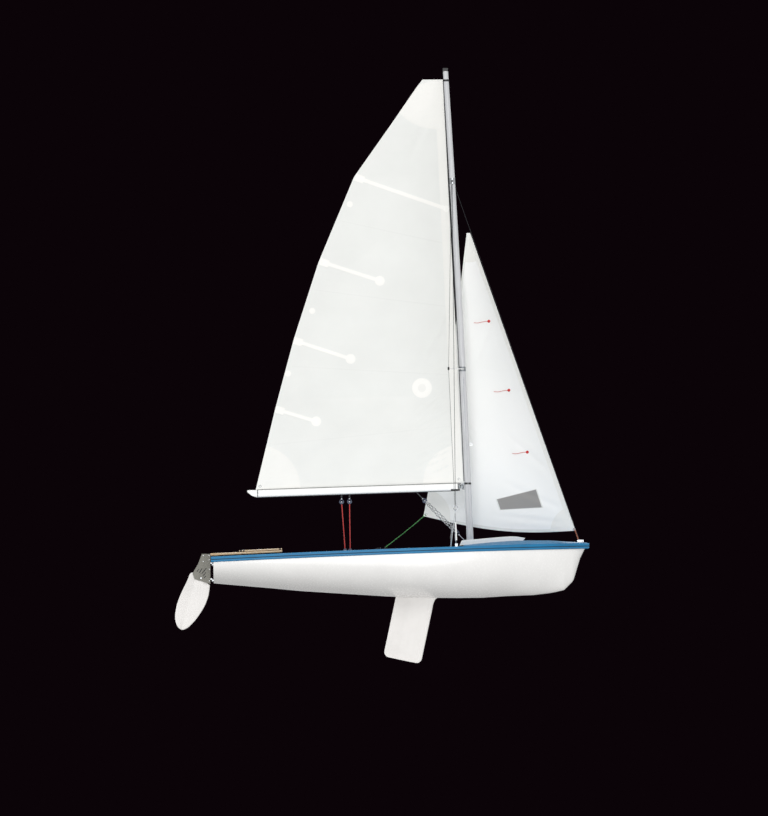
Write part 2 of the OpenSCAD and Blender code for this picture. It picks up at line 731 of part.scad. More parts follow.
// Blade: columns are distance aft of the axis, and height
BLADE = [[26, -60], [39, -167], [74, -276], [135, -384], [208, -481], [286, -552], [335, -566], [385, -536],
    [414, -444], [411, -349], [365, -203], [305, -70], [243, 62], [125, 88]];
blade_pivot = [125, 10];
blade_pin_r = 7;
blade_head_r = 78;
module rudder_head() {
    web = blade_t / 2 + blade_gap;
    color("#9aa0a6")
        translate([axis_x, 0, rudder_z]) {
            for (side = [-1, 1])
                plate_xz(cheek_t, side * (web + cheek_t / 2))
                    polygon([for (p = CHEEK) [-p[0], p[1]]]);
            plate_xz(2 * web + 2)
                polygon([[-head_gap, 280], [-116, 280], [-112, 232], [-44, 232], [-44, -40], [-head_gap, -40]]);
            translate([-blade_pivot[0], web + cheek_t + 2, blade_pivot[1]])
                rotate([90, 0, 0])
                    cylinder(r = blade_pin_r, h = 2 * (web + cheek_t + 2));
        }
}
module rudder_blade() {
    color("#f2f2ee")
        translate([axis_x, 0, rudder_z])
            plate_xz(blade_t)
                difference() {
                    polygon(concat([for (p = BLADE) [-p[0], p[1]]],
                        arc([-blade_pivot[0], blade_pivot[1]], blade_head_r, 80, -60)));
                    translate([-blade_pivot[0], blade_pivot[1]])
                        circle(r = blade_pin_r + running);
                }
}
tiller_rise = 2.75;
tiller_z = 272;
module along_tiller() {
    translate([axis_x - head_gap + seat + 0.5, 0, rudder_z + tiller_z])
        rotate([0, 90 - tiller_rise, 0])
            children();
}
module tiller() {
    color("#b98a52")
        along_tiller()
            linear_extrude(tiller_l)
                rounded(28, 30, 8);
}
module tiller_extension() {
    color("#c89a62")
        along_tiller()
            translate([-24.5, 0, tiller_l - 480])
                cylinder(r = 10, h = 478);
}

board_sweep = 11.9;
board_lead = 37;
board_pin_r = 8;
board_corner = 60;
board_len = (board_reach - board_lead * sin(board_sweep)) / cos(board_sweep);
module centreboard() {
    aft = board_lead - board_chord;
    color("#f2f2ee")
        plate_xz(board_t)
            translate([pivot_x, pivot_z])
                rotate(-board_sweep)
                    difference() {
                        polygon(concat(arc([board_lead - board_corner, board_corner - board_len], board_corner, 0, -90),
                            arc([aft + board_corner, board_corner - board_len], board_corner, -90, -180),
                            [[aft, 30]], arc([0, 0], board_head_r, 90, -60)));
                        circle(r = board_pin_r + running);
                    }
}

hull_shell();
transom();
gunwale();
foredeck();
bow_bulkhead();
port_tank();
starboard_tank();
cockpit_floor();
centreboard_case();
thwart();
mainsheet_blocks();
splashboard();
mast();
masthead_cap();
mast_gate();
mast_step();
port_spreader();
starboard_spreader();
port_shroud();
starboard_shroud();
forestay();
port_chainplate();
starboard_chainplate();
bow_fitting();
pole_ring();
rudder_gudgeons();
gooseneck_bracket();
vang_tang();
port_jib_lead();
starboard_jib_lead();
port_toe_strap();
starboard_toe_strap();
jib();
gooseneck();
boom();
boom_end();
mainsail();
vang();
boom_blocks();
rudder_head();
pintles();
tiller();
tiller_extension();
rudder_blade();
centreboard();
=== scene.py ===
# %% [markdown]
# # A two-person sailing dinghy, afloat
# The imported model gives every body, joint and size. This lesson dresses it: each visible piece is worked
# out as a surface with numpy from the same hull lines and rig sizes, and each gets the finish of the real
# thing.

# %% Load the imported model
import json
import math
import bmesh
import bpy
import numpy as np
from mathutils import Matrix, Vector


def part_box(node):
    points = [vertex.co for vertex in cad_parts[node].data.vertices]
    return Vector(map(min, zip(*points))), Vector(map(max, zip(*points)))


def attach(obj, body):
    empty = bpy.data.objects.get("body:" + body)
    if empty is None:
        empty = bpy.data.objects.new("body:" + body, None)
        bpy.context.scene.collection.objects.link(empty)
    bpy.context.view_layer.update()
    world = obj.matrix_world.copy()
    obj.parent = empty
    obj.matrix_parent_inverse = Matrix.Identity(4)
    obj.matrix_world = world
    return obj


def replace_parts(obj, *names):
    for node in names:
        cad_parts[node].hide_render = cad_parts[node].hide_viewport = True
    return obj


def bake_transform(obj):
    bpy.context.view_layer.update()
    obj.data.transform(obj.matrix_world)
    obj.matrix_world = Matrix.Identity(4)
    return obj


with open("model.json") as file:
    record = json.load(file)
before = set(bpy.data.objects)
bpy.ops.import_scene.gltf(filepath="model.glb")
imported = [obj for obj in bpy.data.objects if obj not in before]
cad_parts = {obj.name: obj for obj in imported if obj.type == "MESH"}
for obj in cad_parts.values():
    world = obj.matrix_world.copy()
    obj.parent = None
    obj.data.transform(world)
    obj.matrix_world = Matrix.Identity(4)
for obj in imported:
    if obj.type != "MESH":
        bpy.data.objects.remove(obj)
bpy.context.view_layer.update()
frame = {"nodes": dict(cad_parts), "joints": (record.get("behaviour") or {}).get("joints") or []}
joints = {joint["name"]: joint for joint in frame["joints"]}
scene = bpy.context.scene
scene.view_settings.view_transform = "Standard"


def node_box(name):
    """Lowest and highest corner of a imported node, as two arrays in metres."""
    low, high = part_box(name)
    return np.array(low, float), np.array(high, float)


# %% [markdown]
# ## Camera
# The boat floats, so the floor lies at its waterline, at height zero. The camera stands in that plane,
# far away with a long lens, so the floor is seen edge on: the whole hull shows, with its centreboard and
# rudder below the waterline, and there is almost no perspective, as in a side elevation.

# %% Camera
FRAME_HEIGHT = 9.09
CAMERA_DISTANCE = 200.0
AIM = np.array([-0.184, 0.0, 1.905])
camera_data = bpy.data.cameras.new("camera")
camera_data.sensor_width = 36.0
camera_data.lens = camera_data.sensor_width * CAMERA_DISTANCE / FRAME_HEIGHT
camera_data.clip_start = 1.0
camera_data.clip_end = 1000.0
camera = bpy.data.objects.new("camera", camera_data)
scene.collection.objects.link(camera)
camera.location = (AIM[0], -CAMERA_DISTANCE, 0.0)
camera.rotation_euler = (math.pi / 2 + math.atan2(AIM[2], CAMERA_DISTANCE), 0.0, 0.0)
scene.camera = camera
print("lens", round(camera_data.lens, 1), "mm")


# %% [markdown]
# ## Helpers for materials
# A material is a small tree of nodes. One function adds a node with its settings and links, and one turns
# a written colour into the linear numbers that the shader works in.

# %% Material helpers
def linear(hex_colour, alpha=1.0):
    """The linear colour of an sRGB hex value: each channel below 0.04045 is divided by 12.92, and the rest
    is raised, after an offset of 0.055, to the power 2.4."""
    c = np.array([int(hex_colour[i:i + 2], 16) for i in (1, 3, 5)]) / 255.0
    low = c / 12.92
    high = ((c + 0.055) / 1.055) ** 2.4
    return (*np.where(c < 0.04045, low, high), alpha)


def add(tree, kind, links=None, **settings):
    """Add a node; settings name its attributes or its input sockets, and links give sockets to join."""
    node = tree.nodes.new(kind)
    for key, value in settings.items():
        if key in node.inputs:
            node.inputs[key].default_value = value
        elif key.startswith("in") and key[2:].isdigit():
            node.inputs[int(key[2:])].default_value = value
        else:
            setattr(node, key, value)
    for key, socket in (links or {}).items():
        tree.links.new(socket, node.inputs[key])
    return node


def new_material(name, hex_colour, roughness, **sockets):
    """A material with one shader. Sockets are the shader's own values, with underscores for spaces."""
    material = bpy.data.materials.new(name)
    material.use_nodes = True
    shader = material.node_tree.nodes["Principled BSDF"]
    shader.inputs["Base Color"].default_value = linear(hex_colour)
    shader.inputs["Roughness"].default_value = roughness
    for key, value in sockets.items():
        shader.inputs[key.replace("_", " ")].default_value = value
    return material, material.node_tree, shader


def place_coords(tree, scale=(1, 1, 1), kind="Object"):
    """Coordinates of the piece, in metres, times a scale along each axis."""
    coords = add(tree, "ShaderNodeTexCoord")
    return add(tree, "ShaderNodeMapping", {"Vector": coords.outputs[kind]}, Scale=scale).outputs["Vector"]


def tint(tree, shader, factor, dark, light, low=0.35, high=0.65):
    """Colour the shader between two hex values by a factor, spread from low to high."""
    ramp = add(tree, "ShaderNodeValToRGB", {"Fac": factor})
    ramp.color_ramp.elements[0].position = low
    ramp.color_ramp.elements[1].position = high
    ramp.color_ramp.elements[0].color = linear(dark)
    ramp.color_ramp.elements[1].color = linear(light)
    tree.links.new(ramp.outputs["Color"], shader.inputs["Base Color"])
    return ramp


def roughen(tree, shader, factor, low, high):
    """Let the roughness run between two values by a factor."""
    span = add(tree, "ShaderNodeMapRange", {"Value": factor})
    span.inputs["To Min"].default_value = low
    span.inputs["To Max"].default_value = high
    tree.links.new(span.outputs["Result"], shader.inputs["Roughness"])


def bump(tree, shader, height, distance, strength=1.0):
    """Raise the surface by a height of 0 to 1 times a distance in metres."""
    node = add(tree, "ShaderNodeBump", {"Height": height}, Distance=distance, Strength=strength)
    tree.links.new(node.outputs["Normal"], shader.inputs["Normal"])
    return node


# %% [markdown]
# ## Light and backdrop
# Sails and gelcoat are nearly white, so the light is even and soft: a dome that fades downwards, and
# three wide sun lamps. One of them shines from below, as light does that comes back off water, and lifts
# the hull's underside and the foils. Only the camera's own rays see the dark backdrop.

# %% Light and backdrop
# A lamp's name, azimuth, elevation, strength and angle across; azimuth 0 is the starboard side.
LAMPS = [("key", -8, 26, 0.62, 20), ("low fill", 4, -20, 1.30, 50), ("back", 170, 40, 0.95, 40)]
# The dome's strength runs between two values while a ray's height runs from below to overhead.
DOME_FADE = {"From Min": -0.55, "From Max": 0.70, "To Min": 0.28, "To Max": 0.86}


def lamp(name, azimuth, elevation, strength, angle):
    """A sun lamp that shines from an azimuth and an elevation in degrees."""
    data = bpy.data.lights.new(name, "SUN")
    data.energy = strength
    data.angle = math.radians(angle)
    light = bpy.data.objects.new(name, data)
    scene.collection.objects.link(light)
    light.rotation_euler = (math.radians(90 - elevation), 0, math.radians(azimuth))


def studio():
    """A dome of light that fades from overhead to below, with a plain dark backdrop where the camera looks
    past the floor."""
    world = bpy.data.worlds.new("studio")
    scene.world = world
    world.use_nodes = True
    tree = world.node_tree
    tree.nodes.clear()
    ray = add(tree, "ShaderNodeTexCoord")
    height = add(tree, "ShaderNodeSeparateXYZ", {0: ray.outputs["Generated"]})
    glow = add(tree, "ShaderNodeMapRange", {"Value": height.outputs["Z"]})
    for socket, value in DOME_FADE.items():
        glow.inputs[socket].default_value = value
    dome = add(tree, "ShaderNodeBackground", {"Strength": glow.outputs["Result"]}, Color=linear("#ffffff"))
    backdrop = add(tree, "ShaderNodeBackground", Color=linear("#0b0408"), Strength=1.0)
    rays = add(tree, "ShaderNodeLightPath")
    mix = add(tree, "ShaderNodeMixShader", {0: rays.outputs["Is Camera Ray"], 1: dome.outputs[0],
                                            2: backdrop.outputs[0]})
    add(tree, "ShaderNodeOutputWorld", {"Surface": mix.outputs[0]})
    for name, azimuth, elevation, strength, angle in LAMPS:
        lamp(name, azimuth, elevation, strength, angle)


studio()
print(len(LAMPS), "lamps")

# %% [markdown]
# ## Helpers for surfaces
# Nearly every piece here is a grid of points: rows along one direction, columns along another. One
# function joins a grid with quads, closing it round in either direction or capping its ends, and another
# carries a flat outline along a path, which makes wires, ropes, spars and mouldings.

# %% Surface helpers
def make_piece(name, points, faces, material, body, slot, smooth=40.0):
    """A mesh object at the origin from points in metres, with its material and body; the slot is not used.
    Edges that bend by more than the smooth angle, in degrees, stay sharp."""
    mesh = bpy.data.meshes.new(name)
    mesh.from_pydata(np.asarray(points, float).reshape(-1, 3).tolist(), [],
                     [tuple(int(i) for i in f) for f in faces])
    mesh.validate()
    cleaner = bmesh.new()
    cleaner.from_mesh(mesh)
    bmesh.ops.remove_doubles(cleaner, verts=cleaner.verts, dist=1e-6)
    bmesh.ops.dissolve_degenerate(cleaner, dist=1e-7, edges=cleaner.edges)
    bmesh.ops.recalc_face_normals(cleaner, faces=cleaner.faces)
    cleaner.to_mesh(mesh)
    cleaner.free()
    mesh.shade_smooth()
    mesh.set_sharp_from_angle(angle=math.radians(smooth))
    mesh.materials.append(material)
    piece = bpy.data.objects.new(name, mesh)
    scene.collection.objects.link(piece)
    if body:
        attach(piece, body)
    return piece


def grid_faces(rows, cols, wrap_rows=False, wrap_cols=False, start=0):
    """Quads of a grid: corner (i, j) joins (i, j+1), (i+1, j+1) and (i+1, j), the last row or column
    joining the first where it wraps."""
    i = np.arange(rows if wrap_rows else rows - 1)[:, None]
    j = np.arange(cols if wrap_cols else cols - 1)[None, :]
    i2 = (i + 1) % rows
    j2 = (j + 1) % cols
    quads = np.stack([i * cols + j, i * cols + j2, i2 * cols + j2, i2 * cols + j], axis=-1)
    return (quads.reshape(-1, 4) + start).tolist()


def capped(rows, cols):
    """Quads of a grid whose columns wrap round, with a flat cap on its first row and on its last."""
    first, last = list(range(cols)), list(range((rows - 1) * cols, rows * cols))
    return grid_faces(rows, cols, wrap_cols=True) + [first[::-1], last]


def tube_mesh(path, outline, up=(0, 0, 1), closed=False):
    """Carry an outline, n points of (across, up), along a path of points. At each point the path's
    direction, a level sideways direction and their cross product carry the outline; flat caps close it."""
    path = np.asarray(path, float)
    outline = np.asarray(outline, float)
    if outline.ndim == 2:
        outline = np.repeat(outline[None], len(path), axis=0)
    if closed:
        ahead = np.roll(path, -1, 0) - np.roll(path, 1, 0)
    else:
        ahead = np.gradient(path, axis=0)
    ahead /= np.linalg.norm(ahead, axis=1)[:, None]
    up = np.broadcast_to(np.asarray(up, float), ahead.shape)
    side = np.cross(up, ahead)
    side /= np.maximum(np.linalg.norm(side, axis=1), 1e-9)[:, None]
    rise = np.cross(ahead, side)
    points = path[:, None] + outline[..., :1] * side[:, None] + outline[..., 1:] * rise[:, None]
    rows, cols = points.shape[:2]
    faces = grid_faces(rows, cols, wrap_rows=True, wrap_cols=True) if closed else capped(rows, cols)
    return points.reshape(-1, 3), faces


def joined(parts):
    """One list of points and faces from several."""
    points, faces, start = [], [], 0
    for part_points, part_faces in parts:
        part_points = np.asarray(part_points).reshape(-1, 3)
        points.append(part_points)
        faces += [[i + start for i in f] for f in part_faces]
        start += len(part_points)
    return np.concatenate(points), faces


def ring(radius, count=12):
    """A circle's points: radius times the cosine and sine of equal steps of angle."""
    a = np.linspace(0, 2 * math.pi, count, endpoint=False)
    return np.stack([radius * np.cos(a), radius * np.sin(a)], axis=1)


def curve_through(knots, count):
    """A smooth path through knots: each stretch is the cubic whose ends meet the slopes of the chords
    between the neighbouring knots."""
    knots = np.asarray(knots, float)
    t = np.linspace(0, len(knots) - 1, count)
    i = np.minimum(t.astype(int), len(knots) - 2)
    f = (t - i)[:, None]
    slope = np.gradient(knots, axis=0)
    a, b, m, n = knots[i], knots[i + 1], slope[i], slope[i + 1]
    return ((2 * f**3 - 3 * f**2 + 1) * a + (f**3 - 2 * f**2 + f) * m
            + (-2 * f**3 + 3 * f**2) * b + (f**3 - f**2) * n)


def eased(x, xs, ys):
    """A smooth value through a short table: cubic stretches whose slopes are limited so that they
    never overshoot the table."""
    x, xs, ys = np.asarray(x, float), np.asarray(xs, float), np.asarray(ys, float)
    step = np.diff(ys) / np.diff(xs)
    slope = np.zeros(len(xs))
    same = step[:-1] * step[1:] > 0
    slope[1:-1][same] = 2 / (1 / step[:-1][same] + 1 / step[1:][same])
    slope[0], slope[-1] = step[0], step[-1]
    i = np.clip(np.searchsorted(xs, x) - 1, 0, len(xs) - 2)
    h = xs[i + 1] - xs[i]
    f = np.clip((x - xs[i]) / h, 0, 1)
    return ((2 * f**3 - 3 * f**2 + 1) * ys[i] + (f**3 - 2 * f**2 + f) * h * slope[i]
            + (-2 * f**3 + 3 * f**2) * ys[i + 1] + (f**3 - f**2) * h * slope[i + 1])


def spun(outline, centre, axis="y", count=32):
    """Turn an outline of (radius, height) points round an axis through a centre."""
    a = np.linspace(0, 2 * math.pi, count, endpoint=False)
    r, h = np.asarray(outline, float).T
    c, s, up = np.cos(a)[:, None] * r, np.sin(a)[:, None] * r, np.zeros(count)[:, None] + h
    order = {"x": (up, c, s), "y": (c, up, s), "z": (c, s, up)}[axis]
    points = np.stack(order, axis=-1) + np.asarray(centre, float)
    faces = grid_faces(count, len(r), wrap_rows=True)
    return points.reshape(-1, 3), faces


def box_mesh(low, high, bevel=0.0):
    """A box from its lowest to its highest corner, with its four upright edges cut off by the bevel."""
    (x0, y0, z0), (x1, y1, z1) = low, high
    b = bevel
    flat = [(x0 + b, y0), (x1 - b, y0), (x1, y0 + b), (x1, y1 - b), (x1 - b, y1), (x0 + b, y1),
            (x0, y1 - b), (x0, y0 + b)] if b else [(x0, y0), (x1, y0), (x1, y1), (x0, y1)]
    n = len(flat)
    points = [(x, y, z0) for x, y in flat] + [(x, y, z1) for x, y in flat]
    faces = [[i, (i + 1) % n, n + (i + 1) % n, n + i] for i in range(n)]
    return np.array(points), faces + [list(range(n))[::-1], list(range(n, 2 * n))]


def bevelled(piece, width, segments=2, angle=35):
    """Round the piece's sharp edges with a Bevel modifier."""
    modifier = piece.modifiers.new("rounded edges", "BEVEL")
    modifier.width = width
    modifier.segments = segments
    modifier.limit_method = "ANGLE"
    modifier.angle_limit = math.radians(angle)
    return piece


# %% [markdown]
# ## Gelcoat
# Gelcoat is a polyester skin sprayed into a polished mould: glossy, with a faint waviness. A clear coat on
# the shader gives the gloss, and a slow noise the waviness. Where the crew walks, the mould has small
# diamonds, which cells of a Voronoi texture stand for.

# %% Gelcoat
def gelcoat(name, hex_dark, hex_light, roughness=0.22, coat=0.35):
    """Polished mould gelcoat: an even gloss, cloudy by a few percent, with a print of the fibres below."""
    material, tree, shader = new_material(name, hex_light, roughness, IOR=1.5, Coat_Weight=coat,
                                          Coat_Roughness=0.12)
    coords = place_coords(tree)
    cloud = add(tree, "ShaderNodeTexNoise", {"Vector": coords}, Scale=3.0, Detail=4.0)
    tint(tree, shader, cloud.outputs["Fac"], hex_dark, hex_light)
    scuff = add(tree, "ShaderNodeTexNoise", {"Vector": coords}, Scale=40.0, Detail=6.0)
    roughen(tree, shader, scuff.outputs["Fac"], roughness - 0.06, roughness + 0.14)
    bump(tree, shader, cloud.outputs["Fac"], 0.0002)
    return material


def grip_gelcoat(name, hex_dark, hex_light, pitch=0.010):
    """Moulded non-slip: small raised diamonds at a real pitch of about 10 mm."""
    material, tree, shader = new_material(name, hex_light, 0.5, IOR=1.5)
    coords = place_coords(tree)
    dots = add(tree, "ShaderNodeTexVoronoi", {"Vector": coords}, feature="F1", Scale=1.0 / pitch,
               Randomness=0.15)
    cloud = add(tree, "ShaderNodeTexNoise", {"Vector": coords}, Scale=6.0, Detail=5.0)
    tint(tree, shader, cloud.outputs["Fac"], hex_dark, hex_light)
    bump(tree, shader, dots.outputs["Distance"], 0.0012, 0.6)
    return material


# %% [markdown]
# ## Sailcloth
# The cloth is woven polyester filled with resin, so it is crisp and pale, and lets some light through. A
# little of a translucent shader is mixed in for that, and two crossed waves give the weave's relief.

# %% Sailcloth
def sailcloth(name, hex_dark, hex_light, see_through=0.12):
    """Resin-filled woven polyester. The weave of about 0.3 mm is too fine to show, so a crosswise grain of
    4 mm stands for it, with the soft mottling that light through the cloth gives."""
    material, tree, shader = new_material(name, hex_light, 0.48, IOR=1.46, Sheen_Weight=0.08,
                                          Sheen_Roughness=0.4)
    coords = place_coords(tree)
    warp = add(tree, "ShaderNodeTexWave", {"Vector": coords}, bands_direction="X", Scale=80.0,
               Distortion=0.6)
    weft = add(tree, "ShaderNodeTexWave", {"Vector": coords}, bands_direction="Z", Scale=80.0,
               Distortion=0.6)
    weave = add(tree, "ShaderNodeMath", {0: warp.outputs["Fac"], 1: weft.outputs["Fac"]}, operation="ADD")
    mottle = add(tree, "ShaderNodeTexNoise", {"Vector": coords}, Scale=1.6, Detail=5.0, Roughness=0.55)
    tint(tree, shader, mottle.outputs["Fac"], hex_dark, hex_light, 0.3, 0.7)
    bump(tree, shader, weave.outputs["Value"], 0.00012, 0.5)
    glow = add(tree, "ShaderNodeBsdfTranslucent", Color=linear(hex_light))
    mix = add(tree, "ShaderNodeMixShader", {1: shader.outputs["BSDF"], 2: glow.outputs["BSDF"]},
              Fac=see_through)
    tree.links.new(mix.outputs["Shader"], tree.nodes["Material Output"].inputs["Surface"])
    return material


# %% [markdown]
# ## Metals
# Spars are aluminium tube, coated or anodised, and fittings are stainless steel. Both are rubbed along their
# length in use, so the noise that varies their gloss is stretched that way.

# %% Metals
def coated_metal(name, hex_dark, hex_light, roughness=0.3):
    """Aluminium tube under a white stove enamel: smooth, with light rubbing marks along it."""
    material, tree, shader = new_material(name, hex_light, roughness, IOR=1.5, Coat_Weight=0.2)
    streaks = place_coords(tree, (30, 30, 1.5))
    rub = add(tree, "ShaderNodeTexNoise", {"Vector": streaks}, Scale=4.0, Detail=4.0)
    tint(tree, shader, rub.outputs["Fac"], hex_dark, hex_light)
    roughen(tree, shader, rub.outputs["Fac"], roughness - 0.08, roughness + 0.12)
    return material


def bare_metal(name, hex_colour, roughness, streak=(60, 60, 6), metallic=1.0):
    """Bare metal, brushed or polished along one direction, with fine streaks in its gloss."""
    material, tree, shader = new_material(name, hex_colour, roughness, Metallic=metallic)
    grain = add(tree, "ShaderNodeTexNoise", {"Vector": place_coords(tree, streak)}, Scale=8.0, Detail=6.0)
    roughen(tree, shader, grain.outputs["Fac"], roughness - 0.1, roughness + 0.12)
    bump(tree, shader, grain.outputs["Fac"], 0.0001, 0.4)
    return material


# %% [markdown]
# ## Plastic, rope and ash
# Blocks and cleats are moulded nylon with a fine even grain. Ropes are braided, so a Voronoi texture at the
# braid's pitch gives both the flecks and the relief. The tiller is ash, whose long grain is a distorted wave
# under a clear varnish.

# %% Plastic, rope and ash
def moulded_plastic(name, hex_dark, hex_light, roughness=0.42):
    """Glass-filled nylon from a spark-eroded mould: satin, with a fine even grain."""
    material, tree, shader = new_material(name, hex_light, roughness, IOR=1.53)
    grain = add(tree, "ShaderNodeTexNoise", {"Vector": place_coords(tree)}, Scale=900.0, Detail=2.0)
    tint(tree, shader, grain.outputs["Fac"], hex_dark, hex_light)
    bump(tree, shader, grain.outputs["Fac"], 0.0001, 0.5)
    return material


def braid(name, hex_ground, hex_fleck, pitch=0.006):
    """Braided rope: strands cross in a diamond pattern, one crossing about each 6 mm, with flecks."""
    material, tree, shader = new_material(name, hex_ground, 0.8, IOR=1.5, Sheen_Weight=0.3)
    coords = place_coords(tree)
    strands = add(tree, "ShaderNodeTexVoronoi", {"Vector": coords}, feature="F1", Scale=1.0 / pitch,
                  Randomness=0.4)
    tint(tree, shader, strands.outputs["Distance"], hex_ground, hex_fleck, 0.25, 0.75)
    bump(tree, shader, strands.outputs["Distance"], 0.001, 0.7)
    return material


def varnished_ash(name, hex_dark, hex_light):
    """Ash under varnish: long grain lines along the piece about 3 mm apart, sealed by a clear gloss."""
    material, tree, shader = new_material(name, hex_light, 0.35, IOR=1.5, Coat_Weight=0.8,
                                          Coat_Roughness=0.08)
    coords = place_coords(tree, (1.2, 40, 40))
    rings = add(tree, "ShaderNodeTexWave", {"Vector": coords}, bands_direction="DIAGONAL", Scale=2.2,
                Distortion=5.0, Detail=3.0)
    pores = add(tree, "ShaderNodeTexNoise", {"Vector": place_coords(tree, (8, 300, 300))}, Scale=3.0,
                Detail=5.0)
    both = add(tree, "ShaderNodeMath", {0: rings.outputs["Fac"], 1: pores.outputs["Fac"]},
               operation="MULTIPLY")
    tint(tree, shader, both.outputs["Value"], hex_light, hex_dark, 0.1, 0.75)
    bump(tree, shader, pores.outputs["Fac"], 0.0001, 0.5)
    return material


# %% [markdown]
# ## The boat's finishes
# Each finish is made once and shared by all the pieces that have it. Cloudy colours run between two close
# values, dark and light.

# %% The boat's finishes
WHITE_GEL = gelcoat("white_gelcoat", "#f6f5f3", "#fbfaf8")
BLUE_GEL = gelcoat("blue_gelcoat", "#0a6c9c", "#1078aa", 0.42, 0.05)
BLUE_GRIP = grip_gelcoat("blue_non_slip_gelcoat", "#0e6a98", "#1675a4")
GREY_GRIP = grip_gelcoat("grey_non_slip_gelcoat", "#c3c7c9", "#d2d5d6")
# Painted light: the jib gets its own lighter copy of the sailcloth, which makes up for the mainsail's shade
# on it.
JIB_CLOTH = sailcloth("white_polyester_cloth", "#fafbfa", "#fdfdfc")
CLOTH = sailcloth("resin_filled_polyester_cloth", "#ebece9", "#f1f2ef")
PATCH_CLOTH = sailcloth("layered_polyester_patch", "#efefeb", "#f5f4f0", 0.05)
SEAM_CLOTH = sailcloth("seam_tape", "#e8e9e6", "#eeefec", 0.05)
BATTEN_CLOTH = sailcloth("batten_pocket_cloth", "#f7f6f2", "#fcfbf7", 0.04)
SPAR = coated_metal("white_coated_aluminium", "#f0f0ee", "#f8f8f6")
MAST_METAL = coated_metal("silver_anodised_aluminium", "#bfc0c3", "#cdced0", 0.32)
STEEL = bare_metal("polished_stainless_steel", "#c2c5c8", 0.22)
WIRE = bare_metal("stainless_wire_rope", "#b9bdc1", 0.3, (400, 400, 120))
ANODISED = bare_metal("anodised_aluminium", "#8d9296", 0.38)
BLACK = moulded_plastic("black_nylon", "#141416", "#1d1e20")
NAVY = moulded_plastic("navy_nylon", "#2a3247", "#38425a")
RED_ROPE = braid("red_braided_rope", "#b01c1c", "#d8423a")
GREEN_ROPE = braid("green_braided_rope", "#2c7a34", "#57a052")
WHITE_ROPE = braid("white_braided_rope", "#d7d8d6", "#9aa3ad")
BLACK_ROPE = braid("black_braided_rope", "#1a1a1c", "#46484c")
TAN_ROPE = braid("tan_braided_rope", "#7a3b26", "#a8664a")
ASH = varnished_ash("varnished_ash", "#b48d60", "#e0c49a")
WEB = braid("black_webbing", "#151517", "#2e3034", 0.004)
RED_TAPE = moulded_plastic("red_yarn", "#c02020", "#d23030", 0.8)
print("materials:", len(bpy.data.materials))

# %% [markdown]
# ## Hull lines
# The hull is drawn by a few curves: the sheer, the keel line, the breadth at the sheer and the roundness
# of the sections. A section is a superellipse: a share of the breadth to the power n and a share of the
# depth to the power n add up to one. A larger n gives a flatter floor and a firmer bilge.

# %% Hull lines
# KEEL_D gives shares of the draught at the places KEEL_S along the hull, from the stern at -1 to the bow
# at 1; a negative share is one of the sheer's height. CROWN_C gives shares of the foredeck's crown at
# CROWN_S.
hull_low = node_box("hull_shell")[0]
band_low, band_high = node_box("gunwale")
HALF = (band_high[0] - band_low[0]) / 2
BAND_D = 0.014
BAND_H = 0.060
WALL = 0.008
SKIN_HALF = (band_high[1] - band_low[1]) / 2 - BAND_D
DRAUGHT = -hull_low[2]
FREEBOARD = 0.338
WIDEST = -0.143
STEM = 0.993
STERN = -0.988
CROWN_H = 0.042
DECK_T = 0.006
KEEL_S = [-1.00, -0.703, -0.533, -0.279, -0.067, 0.14, 0.31, 0.43, 0.57, 0.697, 0.782, 0.824, 0.866, 0.909,
          0.951, 0.978, 0.993]
KEEL_D = [0.22, 0.47, 0.63, 0.79, 0.92, 0.985, 1.00, 0.985, 0.895, 0.85, 0.755, 0.68, 0.58, 0.155,
          -0.59, -0.873, -0.985]
CROWN_S = [0.30, 0.366, 0.50, 0.62, 0.78, 0.866, 0.98]
CROWN_C = [0.35, 0.50, 0.86, 1.00, 0.83, 0.48, 0.05]


def sheer_z(x):
    """Height of the sheer: a parabola of the place along the hull, rising to the bow."""
    s = np.asarray(x) / HALF
    return FREEBOARD + 0.076 * s - 0.0155 * s * s


def keel_z(x):
    """Height of the keel line: minus the draught times the table's share, or, where the share is negative,
    that share of the sheer's height."""
    share = np.interp(np.asarray(x) / HALF, KEEL_S, KEEL_D)
    return np.where(share > 0, -DRAUGHT * share, -share * sheer_z(x))


def skin_y(x):
    """Half breadth at the sheer: forward, the greatest times (1 - u^2.4)^0.85; aft, times 1 - 0.2 v^2."""
    s = np.asarray(x, float) / HALF
    u = np.clip((s - WIDEST) / (STEM - WIDEST), 0, 1)
    v = np.clip((WIDEST - s) / (1 + WIDEST), 0, 1.1)
    return SKIN_HALF * np.where(s > WIDEST, (1 - u**2.4) ** 0.85, 1 - 0.2 * v * v)


def bilge(x):
    """Exponent of the section: constant aft, then falling with the 1.4th power towards the stem."""
    s = np.asarray(x, float) / HALF
    return np.where(s < 0.1, 2.3, 2.3 - 0.95 * (np.clip(s - 0.1, 0, 1) / 0.9) ** 1.4)


def skin_z_at(x, y, gap=0.0):
    """Height of the skin at a breadth: the superellipse solved for its height."""
    n, s, k = bilge(x), sheer_z(x), keel_z(x) + gap
    share = np.clip(np.abs(y) / (skin_y(x) - gap), 0, 1)
    return s - (s - k) * (1 - share**n) ** (1 / n)


def skin_point(x, angle, inward=0.0):
    """Point of the section at an angle from the keel, 0, to the sheer, 90 degrees, moved inwards."""
    x = np.asarray(x, float)
    full, s, n = skin_y(x), sheer_z(x), bilge(x)
    b = np.maximum(full - inward, 0.1 * full)
    k = keel_z(x) + np.minimum(inward, 0.5 * (s - keel_z(x)))
    y = b * np.sin(np.abs(angle)) ** (2 / n) * np.sign(angle)
    return np.stack([x + 0 * angle, y, s - (s - k) * np.cos(angle) ** (2 / n)], axis=-1)


